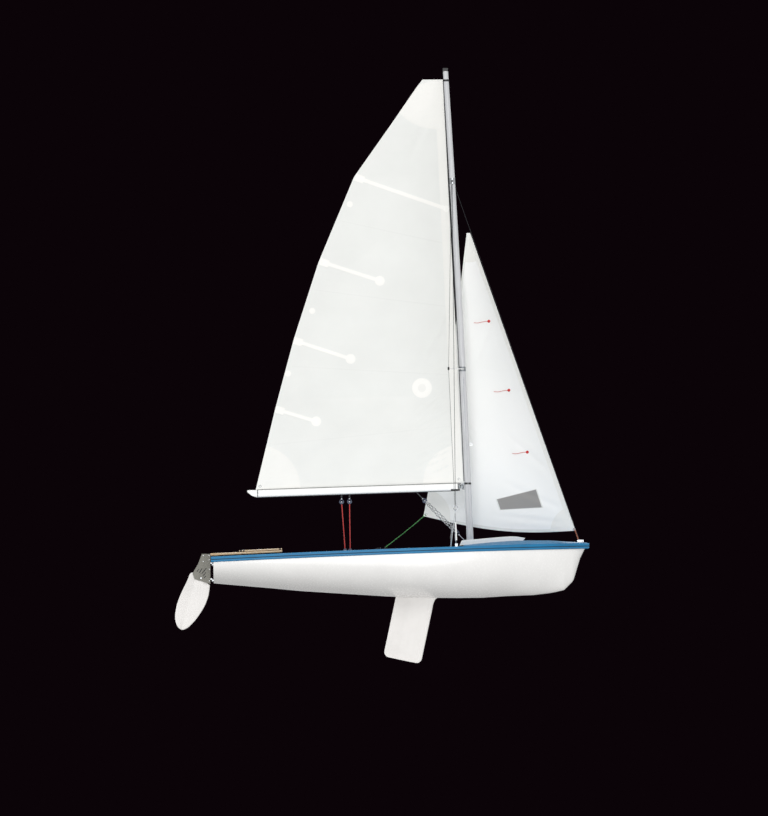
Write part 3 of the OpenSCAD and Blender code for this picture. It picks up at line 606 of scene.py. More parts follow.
def deck_z(x, y):
    """Height of the foredeck's upper face: the sheer plus a crown that falls with the square of the
    breadth's share."""
    x = np.asarray(x, float)
    share = np.minimum(np.abs(y) / np.maximum(skin_y(x), 1e-4), 1)
    return sheer_z(x) + CROWN_H * eased(x / HALF, CROWN_S, CROWN_C) * (1 - share**2) + DECK_T


# %% [markdown]
# ## Sheets and cut-outs
# A moulding of glass fibre is a thin sheet with a real edge. It is made from a front and a back grid, joined
# round the rim, so that it is closed. An opening whose edge crosses the grid is cut with an exact boolean.

# %% Sheets and cut-outs
def sheet_mesh(front, back):
    """A closed sheet: each row runs along the front points and returns along the back ones, and the rows
    at both ends are closed by strips between front and back."""
    front, back = np.asarray(front), np.asarray(back)
    points = np.concatenate([front, back[:, ::-1]], axis=1)
    rows, cols = points.shape[:2]
    faces = grid_faces(rows, cols, wrap_cols=True)
    half = cols // 2
    for base in (0, (rows - 1) * cols):
        faces += [[base + j, base + j + 1, base + cols - 2 - j, base + cols - 1 - j]
                  for j in range(half - 1)]
    return points.reshape(-1, 3), faces


def cut_by(piece, points, faces):
    """Cut a solid out of the piece with an exact boolean, applied to the mesh."""
    mesh = bpy.data.meshes.new("cutter")
    mesh.from_pydata(np.asarray(points).tolist(), [], faces)
    cutter = bpy.data.objects.new("cutter", mesh)
    scene.collection.objects.link(cutter)
    modifier = piece.modifiers.new("cut", "BOOLEAN")
    modifier.operation = "DIFFERENCE"
    modifier.solver = "EXACT"
    modifier.object = cutter
    bpy.context.view_layer.update()
    cut = bpy.data.meshes.new_from_object(piece.evaluated_get(bpy.context.evaluated_depsgraph_get()))
    piece.modifiers.clear()
    old = piece.data
    piece.data = cut
    bpy.data.meshes.remove(old)
    bpy.data.objects.remove(cutter)


# %% [markdown]
# ## Hull skin and gunwale band
# The skin is a thin sheet: an outer and an inner surface of the same sections, closed along the sheer,
# with the centreboard's slot cut through the keel. A boolean is used for the slot because its edges cross
# the sections' grid. The blue band is an outline carried round the sheer, with a rubbing cord in its
# groove.

# %% Hull skin
case_low, case_high = node_box("centreboard_case")
towards_bow = 0.986 - 0.286 * (1 - np.linspace(0, 1, 60)[1:]) ** 1.5
stations = np.concatenate([np.linspace(STERN, 0.70, 90), towards_bow])
side = np.linspace(-math.pi / 2, math.pi / 2, 81)
grid_x, grid_a = np.meshgrid(stations * HALF, side, indexing="ij")
shell = make_piece("hull_skin", *sheet_mesh(skin_point(grid_x, grid_a), skin_point(grid_x, grid_a, WALL)),
                   WHITE_GEL, "hull", "white_gelcoat", 50)
slot_half = 0.017
cut_by(shell, *box_mesh((case_low[0] + 0.012, -slot_half, -0.5), (case_high[0] - 0.012, slot_half, 0.0)))
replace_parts(shell, "hull_shell")
print("hull skin:", len(shell.data.vertices), "points")


# %% Gunwale band
def band_side(x, sign):
    """The sheer's edge on one side and its outward normal in plan, from the slope of the breadth."""
    d = (skin_y(x + 0.002) - skin_y(x - 0.002)) / 0.004
    n = np.stack([-d, np.full_like(d, sign)], axis=1) / np.sqrt(1 + d * d)[:, None]
    return np.stack([x, sign * skin_y(x), sheer_z(x)], axis=1), n


def around_the_bow():
    """The sheer from the port quarter round the bow to the starboard quarter, with its outward normals."""
    x = np.concatenate([[-HALF], stations[stations > STERN + 0.01] * HALF])
    port, port_n = band_side(x, 1)
    star, star_n = band_side(x, -1)
    tip = np.array([[STEM * HALF, 0, sheer_z(HALF)]])
    return np.concatenate([port, tip, star[::-1]]), np.concatenate([port_n, [[1, 0]], star_n[::-1]])


def moulding(outline):
    """A moulding whose outline of (outward, height) points is carried round the sheer."""
    path, normal = around_the_bow()
    outline = np.asarray(outline)
    flat = path[:, None, :2] + outline[None, :, :1] * normal[:, None]
    tall = path[:, None, 2] + outline[None, :, 1]
    points = np.concatenate([flat, tall[..., None]], axis=-1)
    return points.reshape(-1, 3), capped(*points.shape[:2])


def arc(centre, radius, a0, a1, count=6):
    """Points of an arc between two angles in degrees."""
    a = np.radians(np.linspace(a0, a1, count))
    return np.stack([centre[0] + radius * np.cos(a), centre[1] + radius * np.sin(a)], axis=1)


band_outline = np.concatenate([
    [[0.0005, -BAND_H], [0.005, -BAND_H]], arc((0.009, -0.050), 0.0045, -90, 20), [[0.0125, -0.036]],
    [[0.0095, -0.033], [0.0095, -0.028]], [[0.0135, -0.025]], arc((0.0085, -0.004), 0.0052, 0, 90),
    [[-0.022, 0.0015], [-0.022, -0.002], [0.0005, -0.002]]])
band = make_piece("gunwale_moulding", *moulding(band_outline), BLUE_GEL, "hull", "blue_gelcoat", 45)
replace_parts(band, "gunwale")
aft_y = float(skin_y(-HALF)) + 0.004
NOTCH = 0.070
rails = []
for side in (1, -1):
    y0, y1 = sorted((side * NOTCH, side * aft_y))
    rails.append(box_mesh((-HALF, y0, float(sheer_z(-HALF)) - BAND_H),
                          (STERN * HALF - 0.0005, y1, float(sheer_z(-HALF)) + 0.0015), 0.004))
edge = make_piece("transom_rail", *joined(rails), BLUE_GEL, "hull", "blue_gelcoat")
bevelled(edge, 0.003)
line = moulding(np.concatenate([arc((0.0074, -0.0300), 0.0064, -90, 90, 9),
                                [[0.006, -0.0240], [0.006, -0.0360]]]))
RUBBER = moulded_plastic("dark_blue_rubber", "#0b2c40", "#10384f", 0.6)
make_piece("rubbing_strip", *line, RUBBER, "hull", "webbing")
print("gunwale band:", len(band.data.polygons), "faces")

# %% [markdown]
# ## Water plane
# The water is a plain grey floor at height zero. A single large quad would show inside the cockpit,
# because the hull's floor lies below the waterline there. So the plane is a ring of quads, from the
# hull's own waterline, worked out from the hull lines, to a far circle.

# %% Water plane
WATER_REACH = 400.0
WATER_BOW_X = 1.925


def water_plane():
    """A flat grey plane at the waterline, with an opening that follows the hull's waterline, since no water
    stands in the boat. It catches the boat's shadow, but lets light through to what is below it."""
    xs = np.linspace(STERN * HALF + 0.004, WATER_BOW_X, 70)
    half = []
    for x in xs:
        y = np.linspace(0.0, float(skin_y(x)), 200)
        z = skin_z_at(x, y, 0.003)
        half.append(float(np.interp(0.0, z, y)) if z[0] < 0 < z[-1] else 0.004)
    side = np.stack([xs, np.array(half)], axis=1)
    outline = np.concatenate([side, side[::-1] * [1, -1]])
    far = outline / np.linalg.norm(outline, axis=1)[:, None] * WATER_REACH
    points = np.concatenate([np.pad(outline, ((0, 0), (0, 1))), np.pad(far, ((0, 0), (0, 1)))])
    count = len(outline)
    quads = [(i, (i + 1) % count, count + (i + 1) % count, count + i) for i in range(count)]
    mesh = bpy.data.meshes.new("water_plane")
    mesh.from_pydata(points.tolist(), [], [q[::-1] for q in quads])
    mesh.validate()
    plane = bpy.data.objects.new("water_plane", mesh)
    scene.collection.objects.link(plane)
    material, _, _ = new_material("grey_studio_floor", "#7f868d", 0.85)
    mesh.materials.append(material)
    plane.visible_shadow = False
    plane.visible_diffuse = False
    plane.visible_glossy = False
    print("waterline", round(2 * max(half), 3), "m wide")


water_plane()

# %% [markdown]
# ## Deck and cockpit
# The deck moulding is one crowned panel forward, with a rounded coaming down into the cockpit, and a side
# deck on each tank that the crew sits and hikes on. Its walking parts are moulded non-slip.

# %% Foredeck
gate_high = node_box("mast_gate")[1]
fore_low = node_box("foredeck")[0]
tank_low, tank_high = node_box("port_tank")
COCKPIT = tank_low[1]
MAST_SLOT = 0.040


def deck_sheet(xs, across, lift=0.0):
    """Points of the foredeck's upper face on a grid of places along and shares of the breadth across."""
    gx, share = np.meshgrid(xs, across, indexing="ij")
    y = share * np.maximum(skin_y(gx) - 0.002, 0.5 * skin_y(gx))
    return np.stack([gx, y, deck_z(gx, y) + lift], axis=-1)


deck_x = np.concatenate([[fore_low[0]], stations[stations * HALF > fore_low[0] + 0.02] * HALF])
across = np.linspace(-1, 1, 61)
panel = sheet_mesh(deck_sheet(deck_x, across), deck_sheet(deck_x, across, -DECK_T + 0.0006))
deck = make_piece("foredeck_panel", *panel, BLUE_GEL, "hull", "blue_gelcoat", 50)
cut_by(deck, *box_mesh((fore_low[0] - 0.02, -MAST_SLOT, 0.1), (gate_high[0] + 0.012, MAST_SLOT, 0.9)))
bevelled(deck, 0.002, 2, 50)
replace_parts(deck, "foredeck")
grip_x = np.linspace(fore_low[0] + 0.10, 1.80, 50)
for sign in (-1, 1):
    shares = sign * np.linspace(0.16, 0.86, 24)
    pad = make_piece("foredeck_grip_" + ("port" if sign > 0 else "starboard"),
                     *sheet_mesh(deck_sheet(grip_x, shares, 0.0012), deck_sheet(grip_x, shares, -0.0005)),
                     BLUE_GRIP, "hull", "blue_gelcoat", 50)
    bevelled(pad, 0.001, 1)

# %% [markdown]
# ## Side tanks
# The crew sits on two buoyancy tanks. Each is a closed moulding whose section is worked out at every
# station: out along the hull's skin, back over the deck, and round the coaming down into the cockpit.
# Their grip pads are thin sheets that follow the same deck height.

# %% Side tanks
between = (stations * HALF > tank_low[0] + 0.02) & (stations * HALF < tank_high[0] - 0.02)
tank_x = np.concatenate([[tank_low[0]], stations[between] * HALF, [tank_high[0]]])
TANK_GAP = WALL + 0.0025


def tank_section(x, sign):
    """One section of a side tank, from the skin at the cockpit wall out along the skin, back over the
    deck with its slight fall inboard, and round the coaming down the wall."""
    outer = float(skin_y(x)) - TANK_GAP
    y = np.linspace(COCKPIT, outer, 14)
    skin = np.minimum(skin_z_at(x, y, TANK_GAP), sheer_z(x) - 0.02)
    over = np.linspace(outer, COCKPIT + 0.030, 14)
    fall = 0.016 * (1 - (over - COCKPIT) / (outer - COCKPIT)) ** 3
    top = sheer_z(x) - fall
    a = np.radians(np.linspace(90, 180, 8))[1:]
    lip_y = COCKPIT + 0.030 + 0.030 * np.cos(a)
    lip_z = top[-1] - 0.030 + 0.030 * np.sin(a)
    ys, zs = np.concatenate([y, over, lip_y]), np.concatenate([skin, top, lip_z])
    return np.stack([np.full_like(ys, x), sign * ys, zs], axis=1)


for sign, name in ((1, "port"), (-1, "starboard")):
    section = np.stack([tank_section(x, sign) for x in tank_x])
    tank = make_piece(name + "_side_tank", section, capped(*section.shape[:2]), BLUE_GEL, "hull",
                      "blue_gelcoat", 50)
    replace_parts(tank, name + "_tank")
    gx, share = np.meshgrid(tank_x[2:-2], np.linspace(0.16, 0.90, 12), indexing="ij")
    gy = COCKPIT + (skin_y(gx) - TANK_GAP - COCKPIT) * share
    top = sheer_z(gx) - 0.016 * (1 - share) ** 3
    upper = np.stack([gx, sign * gy, top + 0.0012], axis=-1)
    lower = np.stack([gx, sign * gy, top - 0.0005], axis=-1)
    bevelled(make_piece(name + "_side_deck_grip", *sheet_mesh(upper, lower), BLUE_GRIP, "hull",
                        "blue_gelcoat", 50), 0.001, 1)


# %% [markdown]
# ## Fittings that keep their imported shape
# Plates, brackets, straps and bulkheads are flat or turned parts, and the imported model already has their
# true shape. They only need the finish of the real part.

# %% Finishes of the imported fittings
def finish(name, material):
    """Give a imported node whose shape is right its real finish."""
    mesh = frame["nodes"][name].data
    mesh.materials.clear()
    mesh.materials.append(material)


for material, names in ((WHITE_GEL, ("transom", "bow_bulkhead", "centreboard_case", "thwart")),
                        (GREY_GRIP, ("cockpit_floor",)),
                        (STEEL, ("mast_gate", "mast_step", "port_chainplate", "starboard_chainplate",
                                 "bow_fitting", "pole_ring", "rudder_gudgeons", "pintles")),
                        (ANODISED, ("vang_tang", "gooseneck", "gooseneck_bracket")),
                        (BLACK, ("masthead_cap", "port_jib_lead", "starboard_jib_lead")),
                        (WEB, ("port_toe_strap", "starboard_toe_strap"))):
    for name in names:
        finish(name, material)

# %% [markdown]
# ## Splashboard
# A low board in a vee on the foredeck throws the spray off to the sides. It leans aft and its upper edge
# is round. Each arm is one upright profile carried from the point of the vee to its end, with its foot on
# the deck's own surface, so that no gap shows.

# %% Splashboard
splash_low, splash_high = node_box("splashboard")


def splashboard():
    """A low vee of moulded board on the foredeck, its point forward, raked aft with a rounded upper edge.
    Each arm is an upright profile carried from the point to its end, with its foot on the deck."""
    profile = np.concatenate([[[-0.010, -0.002], [0.010, -0.002], [0.0065, 0.008]],
                              arc((0.0, 0.047), 0.0055, 0, 180, 7), [[-0.0065, 0.008]]])
    share = np.linspace(0, 1, 40)
    x = splash_high[0] - 0.030 - share * (splash_high[0] - 0.042 - splash_low[0])
    y = share * (splash_high[1] - 0.012)
    fade = 0.55 + 0.45 * np.sin(np.minimum(share * 4, 1) * math.pi / 2)
    parts = []
    for sign in (1, -1):
        foot = np.stack([x, sign * y, deck_z(x, y)], axis=1)
        lean = profile[None, :, 1] * 0.42
        up = profile[None, :, 1] * fade[:, None]
        points = np.stack([foot[:, None, 0] + lean + profile[None, :, 0] * 0.5,
                           foot[:, None, 1] + sign * profile[None, :, 0],
                           foot[:, None, 2] + up], axis=-1)
        parts.append((points, capped(*points.shape[:2])))
    piece = make_piece("wave_breaker", *joined(parts), WHITE_GEL, "hull", "white_gelcoat", 50)
    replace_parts(piece, "splashboard")


splashboard()
print("splashboard", round(splash_high[1] - splash_low[1], 3), "m wide")

# %% [markdown]
# ## Mast and boom
# A dinghy's mast is an extruded tube with a luff groove down its aft side, raked aft and bent a little
# forward in the middle. The boom hangs from the gooseneck, and swings about a line just behind the mast's
# aft face.

# %% Mast
mast_low, mast_high = node_box("mast")
MAST_TOP = node_box("masthead_cap")[1][2]
MAST_FOOT = 0.7775
RAKE = math.radians(2.93)
BEND = 0.020
BEND_FROM = -0.180
STEP_Z = 0.257
SPREADER_Z, TRAPEZE_Z, HOUNDS_Z = 2.340, 4.390, 4.434
MAST_DEPTH, TIP_DEPTH, MAST_BREADTH = 0.078, 0.057, 0.056


def mast_x(z):
    """Middle of the mast at a height: the rake's straight line with a half sine of forward bend added."""
    share = np.clip((np.asarray(z) - BEND_FROM) / (MAST_TOP - BEND_FROM), 0, 1)
    return MAST_FOOT - (z - STEP_Z) * math.tan(RAKE) + BEND * np.sin(math.pi * share)


def mast_d(z):
    """Depth of the mast fore and aft, which tapers evenly to the top."""
    return MAST_DEPTH + (TIP_DEPTH - MAST_DEPTH) * np.maximum(z, 0) / MAST_TOP


def mast_section(z, count=40):
    """The tube's section: an oval whose aft side is pinched into the two lips of the luff groove."""
    a = np.linspace(0, 2 * math.pi, count, endpoint=False)
    d = mast_d(z)
    x, y = d / 2 * np.cos(a), MAST_BREADTH * d / MAST_DEPTH / 2 * np.sin(a)
    groove = np.abs(np.abs(a - math.pi)) < 0.09
    x = np.where(groove, x + 0.011, x)
    return np.stack([mast_x(z) + x, y, np.full_like(x, z)], axis=1)


heights = np.linspace(mast_low[2], mast_high[2], 90)
section = np.stack([mast_section(z) for z in heights])
mast = make_piece("mast_tube", section, capped(*section.shape[:2]), MAST_METAL, "hull", "spar", 30)
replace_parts(mast, "mast")


def mast_collar(name, z, height, material, slot, grow=0.0012):
    """A sleeve round the mast at a height: the mast's own section grown outwards by a millimetre or so."""
    levels = np.array([z - height / 2, z - height / 2, z + height / 2, z + height / 2])
    grown = np.array([0.0, grow, grow, 0.0])
    a = np.linspace(0, 2 * math.pi, 40, endpoint=False)
    half_d = mast_d(levels)[:, None] / 2 + grown[:, None]
    half_b = mast_d(levels)[:, None] * MAST_BREADTH / MAST_DEPTH / 2 + grown[:, None]
    points = np.stack([mast_x(levels)[:, None] + half_d * np.cos(a), half_b * np.sin(a),
                       levels[:, None] + 0 * a], axis=-1)
    return make_piece(name, points, capped(*points.shape[:2]), material, "hull", slot, 35)


mast_collar("boom_band", 1.064, 0.022, BLACK, "black_plastic")
mast_collar("upper_band", 5.555, 0.022, BLACK, "black_plastic")
mast_collar("spreader_collar", SPREADER_Z, 0.050, ANODISED, "anodised", 0.0020)
mast_collar("hounds_plate", HOUNDS_Z, 0.070, STEEL, "stainless")
print("mast", round(mast_high[2] - mast_low[2], 3), "m long")

# %% [markdown]
# ## Boom
# The boom is a deep box tube with round corners and a groove for the sail's foot. It swings about the
# line through the gooseneck's pin, and its aft end is cut at a slant. The tube is swept straight, and the
# slant is a formula that draws the low points of the end forward, so the tube and its end cap are cut
# alike.

# %% Boom
boom_low, boom_high = node_box("boom")
end_low, end_high = node_box("boom_end")
HINGE = np.array(joints["boom_swing"]["pos_m"], float)
HINGE_AXIS = np.array(joints["boom_swing"]["axis"], float)
BOOM_START = HINGE[0] - 0.050
BOOM_SLOPE = math.tan(math.radians(1.9))
BOOM_DEPTH, BOOM_BREADTH = 0.080, 0.056


def hinge_x(z):
    """Place of the boom's hinge line at a height: a straight line through the gooseneck's pin."""
    return HINGE[0] + (z - HINGE[2]) * HINGE_AXIS[0] / HINGE_AXIS[2]


def boom_z(x):
    """Middle of the boom at a place along it."""
    return HINGE[2] - (BOOM_START - x) * BOOM_SLOPE


def rounded_outline(width, height, radius, count=5):
    """A rectangle's outline with round corners."""
    w, h = width / 2 - radius, height / 2 - radius
    return np.concatenate([arc((w, h), radius, 90, 0, count), arc((w, -h), radius, 0, -90, count),
                           arc((-w, -h), radius, -90, -180, count), arc((-w, h), radius, 180, 90, count)])


def boom_outline(count=9):
    """The boom's section: a box with round corners of 20 mm and a groove along its upper face."""
    r, w, d = 0.020, BOOM_BREADTH / 2, BOOM_DEPTH / 2
    corners = [arc((w - r, d - r), r, 90, 0, count), arc((w - r, r - d), r, 0, -90, count),
               arc((r - w, r - d), r, -90, -180, count), arc((r - w, d - r), r, 180, 90, count)]
    groove = [[-0.004, d], [-0.004, d - 0.008], [0.004, d - 0.008], [0.004, d]]
    return np.concatenate(corners + [groove])


xs = np.linspace(boom_high[0] - 0.001, boom_low[0] + 0.001, 30)
SLANT_X = boom_low[0] + 0.120


def slanted(points):
    """Cut the lower corner off the boom's aft end: what lies behind a place is drawn in, the more the lower
    it is below the middle."""
    points = np.array(points)
    share = np.clip((points[:, 2] - boom_z(points[:, 0])) / BOOM_DEPTH / 0.45 + 1.1, 0, 1)
    behind = np.minimum(points[:, 0] - SLANT_X, 0)
    points[:, 0] = np.where(behind < 0, SLANT_X + behind * (0.12 + 0.88 * share), points[:, 0])
    return points


path = np.stack([xs, 0 * xs, boom_z(xs)], axis=1)
tube = tube_mesh(path, boom_outline())
boom = make_piece("boom_tube", slanted(tube[0]), tube[1], SPAR, "boom", "spar", 30)
caps = []
for x0, x1 in ((end_high[0], boom_high[0] - 0.001), (boom_low[0] + 0.001, end_low[0])):
    path = np.array([[x0, 0, boom_z(x0)], [x1, 0, boom_z(x1)]])
    cap = tube_mesh(path, rounded_outline(BOOM_BREADTH * 0.99, BOOM_DEPTH * 0.99, 0.019))
    caps.append((slanted(cap[0]), cap[1]))
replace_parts(make_piece("boom_end_caps", *joined(caps), BLACK, "boom", "black_plastic"), "boom_end")
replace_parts(boom, "boom")
band_x = np.array([boom_low[0] + 0.110, boom_low[0] + 0.118])
path = np.stack([band_x, 0 * band_x, boom_z(band_x)], axis=1)
sleeve = arc((0.0, 0.0), 1.0, 0, 360, 41)[:-1]
sleeve = np.stack([np.sign(sleeve[:, 0]) * np.abs(sleeve[:, 0]) ** 0.6 * (BOOM_BREADTH / 2 + 0.004),
                   np.sign(sleeve[:, 1]) * np.abs(sleeve[:, 1]) ** 0.6 * (BOOM_DEPTH / 2 + 0.004)], axis=1)
make_piece("outhaul_lashing", *tube_mesh(path, sleeve), BLACK_ROPE, "boom", "webbing")
print("boom", round(boom_high[0] - boom_low[0], 3), "m long")

# %% [markdown]
# ## Sails
# A sail is a curved sheet between a straight luff and a free leech. Its place (u, v) runs from luff to
# leech and from foot to head. Each level is a chord of the sail's width there, bowed out by the camber
# and turned a little more from the foot to the head, which is the twist. Fine creases lie on top, along
# the normal.

# %% Sail surfaces
SAIL_T = 0.003
MAIN_CAMBER, JIB_CAMBER = 0.09, 0.10
MAIN_TWIST = math.radians(14)
# ROACH gives the mainsail's height and its chord, each as a share, and JIB_LEE the jib's height, as a
# share, and how far to leeward its leech stands, in metres.
ROACH = np.array([[0, 1], [0.198, 0.886], [0.367, 0.780], [0.5545, 0.642], [0.763, 0.449], [0.891, 0.257],
                  [0.979, 0.128], [1, 0.094]])
TACK_Z = HINGE[2] + 0.049
FOOT = 2.307
CLEW_Z = boom_z(BOOM_START - FOOT + 0.050) + BOOM_DEPTH / 2 + 0.0006
MAIN_HEAD_Z = 5.566
JIB_LEE = np.array([[0, 0.345], [0.28, 0.392], [0.53, 0.405], [0.7, 0.320], [0.855, 0.175], [1, 0.006]])
JIB_TACK_Z, JIB_CLEW_Z, JIB_CLEW_X, JIB_HEAD_Z = 0.540, 0.702, MAST_FOOT - 0.521, 3.854
STAY_LOW, STAY_HIGH = np.array([2.000, 0.401]), np.array([0.607, 4.333])


# %% [markdown]
# ## Creases
# Cloth that is pulled at a corner or along the luff folds in long shallow creases. Each one is a bell curve
# across its line with a hollow on both sides, and fades out at both ends, so no edge shows in the cloth.

# %% Creases
def creases(x, z, table):
    """Height of the creases at places in side view. Each row is a crease's two ends, its width and its
    height: across it a bell curve with a hollow on either side, and along it half a sine wave."""
    total = np.zeros_like(x)
    for x0, z0, x1, z1, width, height in table:
        length = math.hypot(x1 - x0, z1 - z0)
        dx, dz = (x1 - x0) / length, (z1 - z0) / length
        along = np.clip(((x - x0) * dx + (z - z0) * dz) / length, 0, 1)
        across = ((z - z0) * dx - (x - x0) * dz) / width
        total = total + height * np.exp(-across**2) * (1 - 2 * across**2) * np.sin(math.pi * along)
    return total


MAIN_CREASES = [(0.60, 2.20, 0.10, 1.77, 0.030, 0.0050), (0.61, 2.06, 0.16, 1.69, 0.028, -0.0042),
                (0.63, 1.90, 0.05, 1.60, 0.034, 0.0046), (0.65, 1.72, 0.20, 1.49, 0.028, 0.0038),
                (0.67, 1.55, 0.12, 1.36, 0.030, -0.0048), (0.67, 1.45, 0.08, 1.20, 0.030, 0.0050),
                (0.67, 1.32, 0.25, 1.14, 0.024, -0.0034), (0.60, 2.48, 0.22, 2.16, 0.030, 0.0030),
                (0.58, 3.05, 0.20, 2.35, 0.050, 0.0036), (0.20, 1.95, -0.35, 1.52, 0.060, 0.0030),
                (0.20, 3.20, -0.30, 2.50, 0.090, 0.0040), (-0.10, 3.90, -0.62, 3.42, 0.080, 0.0034),
                (0.05, 2.10, -1.30, 1.12, 0.120, 0.0060), (0.35, 5.20, 0.05, 4.60, 0.060, -0.0040)]
JIB_CREASES = [(1.88, 0.62, 0.95, 0.72, 0.045, 0.0040), (1.86, 0.75, 1.10, 1.10, 0.050, 0.0036),
               (0.33, 0.78, 0.80, 1.65, 0.060, -0.0040), (0.34, 0.74, 1.10, 1.40, 0.060, 0.0036),
               (1.70, 1.15, 1.15, 1.65, 0.050, 0.0030), (1.05, 2.95, 0.80, 2.30, 0.050, 0.0030)]


def main_point(u, v):
    """The mainsail's middle surface. The chord is the foot's length times the roach table. The bow is the
    camber times the chord times a sine that peaks forward of the middle. Both turn by the twist."""
    z_luff = TACK_Z + v * (MAIN_HEAD_Z - TACK_Z)
    z_leech = CLEW_Z + v * (MAIN_HEAD_Z - CLEW_Z)
    turn = MAIN_TWIST * v
    chord = FOOT * np.interp(v, ROACH[:, 0], ROACH[:, 1]) / np.cos(turn)
    inside = np.clip(u, 0, 1.2)
    bow = MAIN_CAMBER * chord * np.clip(0.12 + 4 * v, 0, 1) * np.sin(math.pi * inside**0.8)
    out = chord * u
    return np.stack([hinge_x(z_luff) + 0.008 * (1 - u) - out * np.cos(turn) + bow * np.sin(turn),
                     out * np.sin(turn) + bow * np.cos(turn), z_luff + (z_leech - z_luff) * u], axis=-1)


def jib_point(u, v):
    """The jib's middle surface, from the forestay to a hollow leech that passes outside the spreader."""
    z_luff = JIB_TACK_Z + v * (JIB_HEAD_Z - JIB_TACK_Z)
    z_leech = JIB_CLEW_Z + v * (JIB_HEAD_Z - JIB_CLEW_Z)
    lean = (STAY_LOW[0] - STAY_HIGH[0]) / (STAY_HIGH[1] - STAY_LOW[1])
    x_luff = STAY_LOW[0] - (z_luff - STAY_LOW[1]) * lean - 0.0026
    x_head = STAY_LOW[0] - (JIB_HEAD_Z - STAY_LOW[1]) * lean - 0.040
    x_leech = JIB_CLEW_X + v * (x_head - JIB_CLEW_X) + 0.040 * np.sin(math.pi * v)
    y_leech = np.interp(v, JIB_LEE[:, 0], JIB_LEE[:, 1])
    chord = np.hypot(x_luff - x_leech, y_leech)
    inside = np.clip(u, 0, 1.2)
    bow = JIB_CAMBER * chord * np.sin(math.pi * inside**0.85) * (1 - 0.3 * v)
    drop = 0.084 * np.sin(math.pi * u) * np.clip(1 - v, 0, 1) ** 8
    x = x_luff + (x_leech - x_luff) * u + bow * y_leech / chord
    y = y_leech * u + bow * (x_luff - x_leech) / chord
    return np.stack([x, y, z_luff + (z_leech - z_luff) * u - drop], axis=-1)


# %% [markdown]
# ## Cloth and what is sewn on it
# A seam or a patch is given where it is seen from the side. Newton's method finds the matching (u, v), so
# that the piece lies on the curved cloth, on both faces.

# %% Cloth and sewn pieces
def normal_of(surface, u, v, step=2e-3):
    """Unit normal of a surface: the cross product of its two slopes, each from two nearby points."""
    along = surface(u + step, v) - surface(u - step, v)
    up = surface(u, v + step) - surface(u, v - step)
    n = np.cross(along, up)
    return n / np.linalg.norm(n, axis=-1)[..., None]


def main_cloth(u, v):
    """The mainsail with its creases and a slight waviness of the cloth, both along the normal."""
    p = main_point(u, v)
    ripple = 0.0012 * np.sin(7 * p[..., 0] + 3 * p[..., 2]) * np.sin(5 * p[..., 2] - 2 * p[..., 0])
    lift = creases(p[..., 0], p[..., 2], MAIN_CREASES) + ripple
    return p + normal_of(main_point, u, v) * lift[..., None]


def jib_cloth(u, v):
    """The jib with its creases and a slight waviness of the cloth, both along the normal."""
    p = jib_point(u, v)
    ripple = 0.0010 * np.sin(8 * p[..., 0] + 2 * p[..., 2]) * np.sin(6 * p[..., 2] - 3 * p[..., 0])
    lift = np.clip(u * 12, 0, 1) * (creases(p[..., 0], p[..., 2], JIB_CREASES) + ripple)
    return p + normal_of(jib_point, u, v) * lift[..., None]


def place_on(surface, x, z):
    """The (u, v) of places given in side view. Newton's method: the error in x and z is divided by the
    surface's slopes, again and again, and what falls outside the cloth is moved to its edge."""
    u, v = np.full(np.shape(x), 0.5), np.full(np.shape(x), 0.5)
    for _ in range(25):
        p = surface(u, v)
        du = (surface(u + 1e-4, v) - p) / 1e-4
        dv = (surface(u, v + 1e-4) - p) / 1e-4
        ex, ez = x - p[..., 0], z - p[..., 2]
        det = du[..., 0] * dv[..., 2] - du[..., 2] * dv[..., 0]
        det = np.where(np.abs(det) < 1e-6, 1e-6, det)
        u = np.clip(u + np.clip((ex * dv[..., 2] - ez * dv[..., 0]) / det, -0.3, 0.3), -0.02, 1.02)
        v = np.clip(v + np.clip((ez * du[..., 0] - ex * du[..., 2]) / det, -0.3, 0.3), -0.02, 1.02)
    return np.clip(u, 0, 1), np.clip(v, 0, 1)


def sail_solid(surface, us, vs, front=SAIL_T / 2, back=-SAIL_T / 2):
    """A thin solid between two offsets of a surface along its normal, at a grid of (u, v)."""
    u, v = (np.meshgrid(us, vs) if np.ndim(us) == 1 else (us, vs))
    p, n = surface(u, v), normal_of(surface, u, v)
    return sheet_mesh(p + front * n, p + back * n)


def sewn_at(name, surface, u, v, material, body, lift=0.0008):
    """A patch or tape on both faces of the sail at a grid of (u, v)."""
    near, far = SAIL_T / 2 - 0.0004, SAIL_T / 2 + lift
    parts = [sail_solid(surface, u, v, far, near), sail_solid(surface, u, v, -near, -far)]
    return make_piece(name, *joined(parts), material, body, "sailcloth", 50)


def sewn(name, surface, x, z, material, body, lift=0.0008):
    """A patch or tape on both faces of the sail at a grid of places in side view."""
    u, v = place_on(surface, np.asarray(x, float), np.asarray(z, float))
    return sewn_at(name, surface, u, v, material, body, lift)


def disc_places(x, z, radius, count=15):
    """A square grid squeezed into a disc: each coordinate is scaled by the root of one less half the
    other's square."""
    s, t = np.meshgrid(np.linspace(-1, 1, count), np.linspace(-1, 1, count))
    return x + radius * s * np.sqrt(1 - t * t / 2), z + radius * t * np.sqrt(1 - s * s / 2)


def strip_places(start, end, width, count=40, across=5):
    """A strip of even width between two places, as a grid."""
    start, end = np.array(start, float), np.array(end, float)
    along = (end - start) / np.linalg.norm(end - start)
    side = np.array([-along[1], along[0]]) * width / 2
    a, b = np.meshgrid(np.linspace(0, 1, count), np.linspace(-1, 1, across))
    p = start + a[..., None] * (end - start) + b[..., None] * side
    return p[..., 0], p[..., 1]


def fan_places(centre, r0, r1, a0, a1, count=30):
    """A sector between two radii and two angles in degrees, as a grid."""
    r, a = np.meshgrid(np.linspace(r0, r1, 16), np.radians(np.linspace(a0, a1, count)))
    return centre[0] + r * np.cos(a), centre[1] + r * np.sin(a)


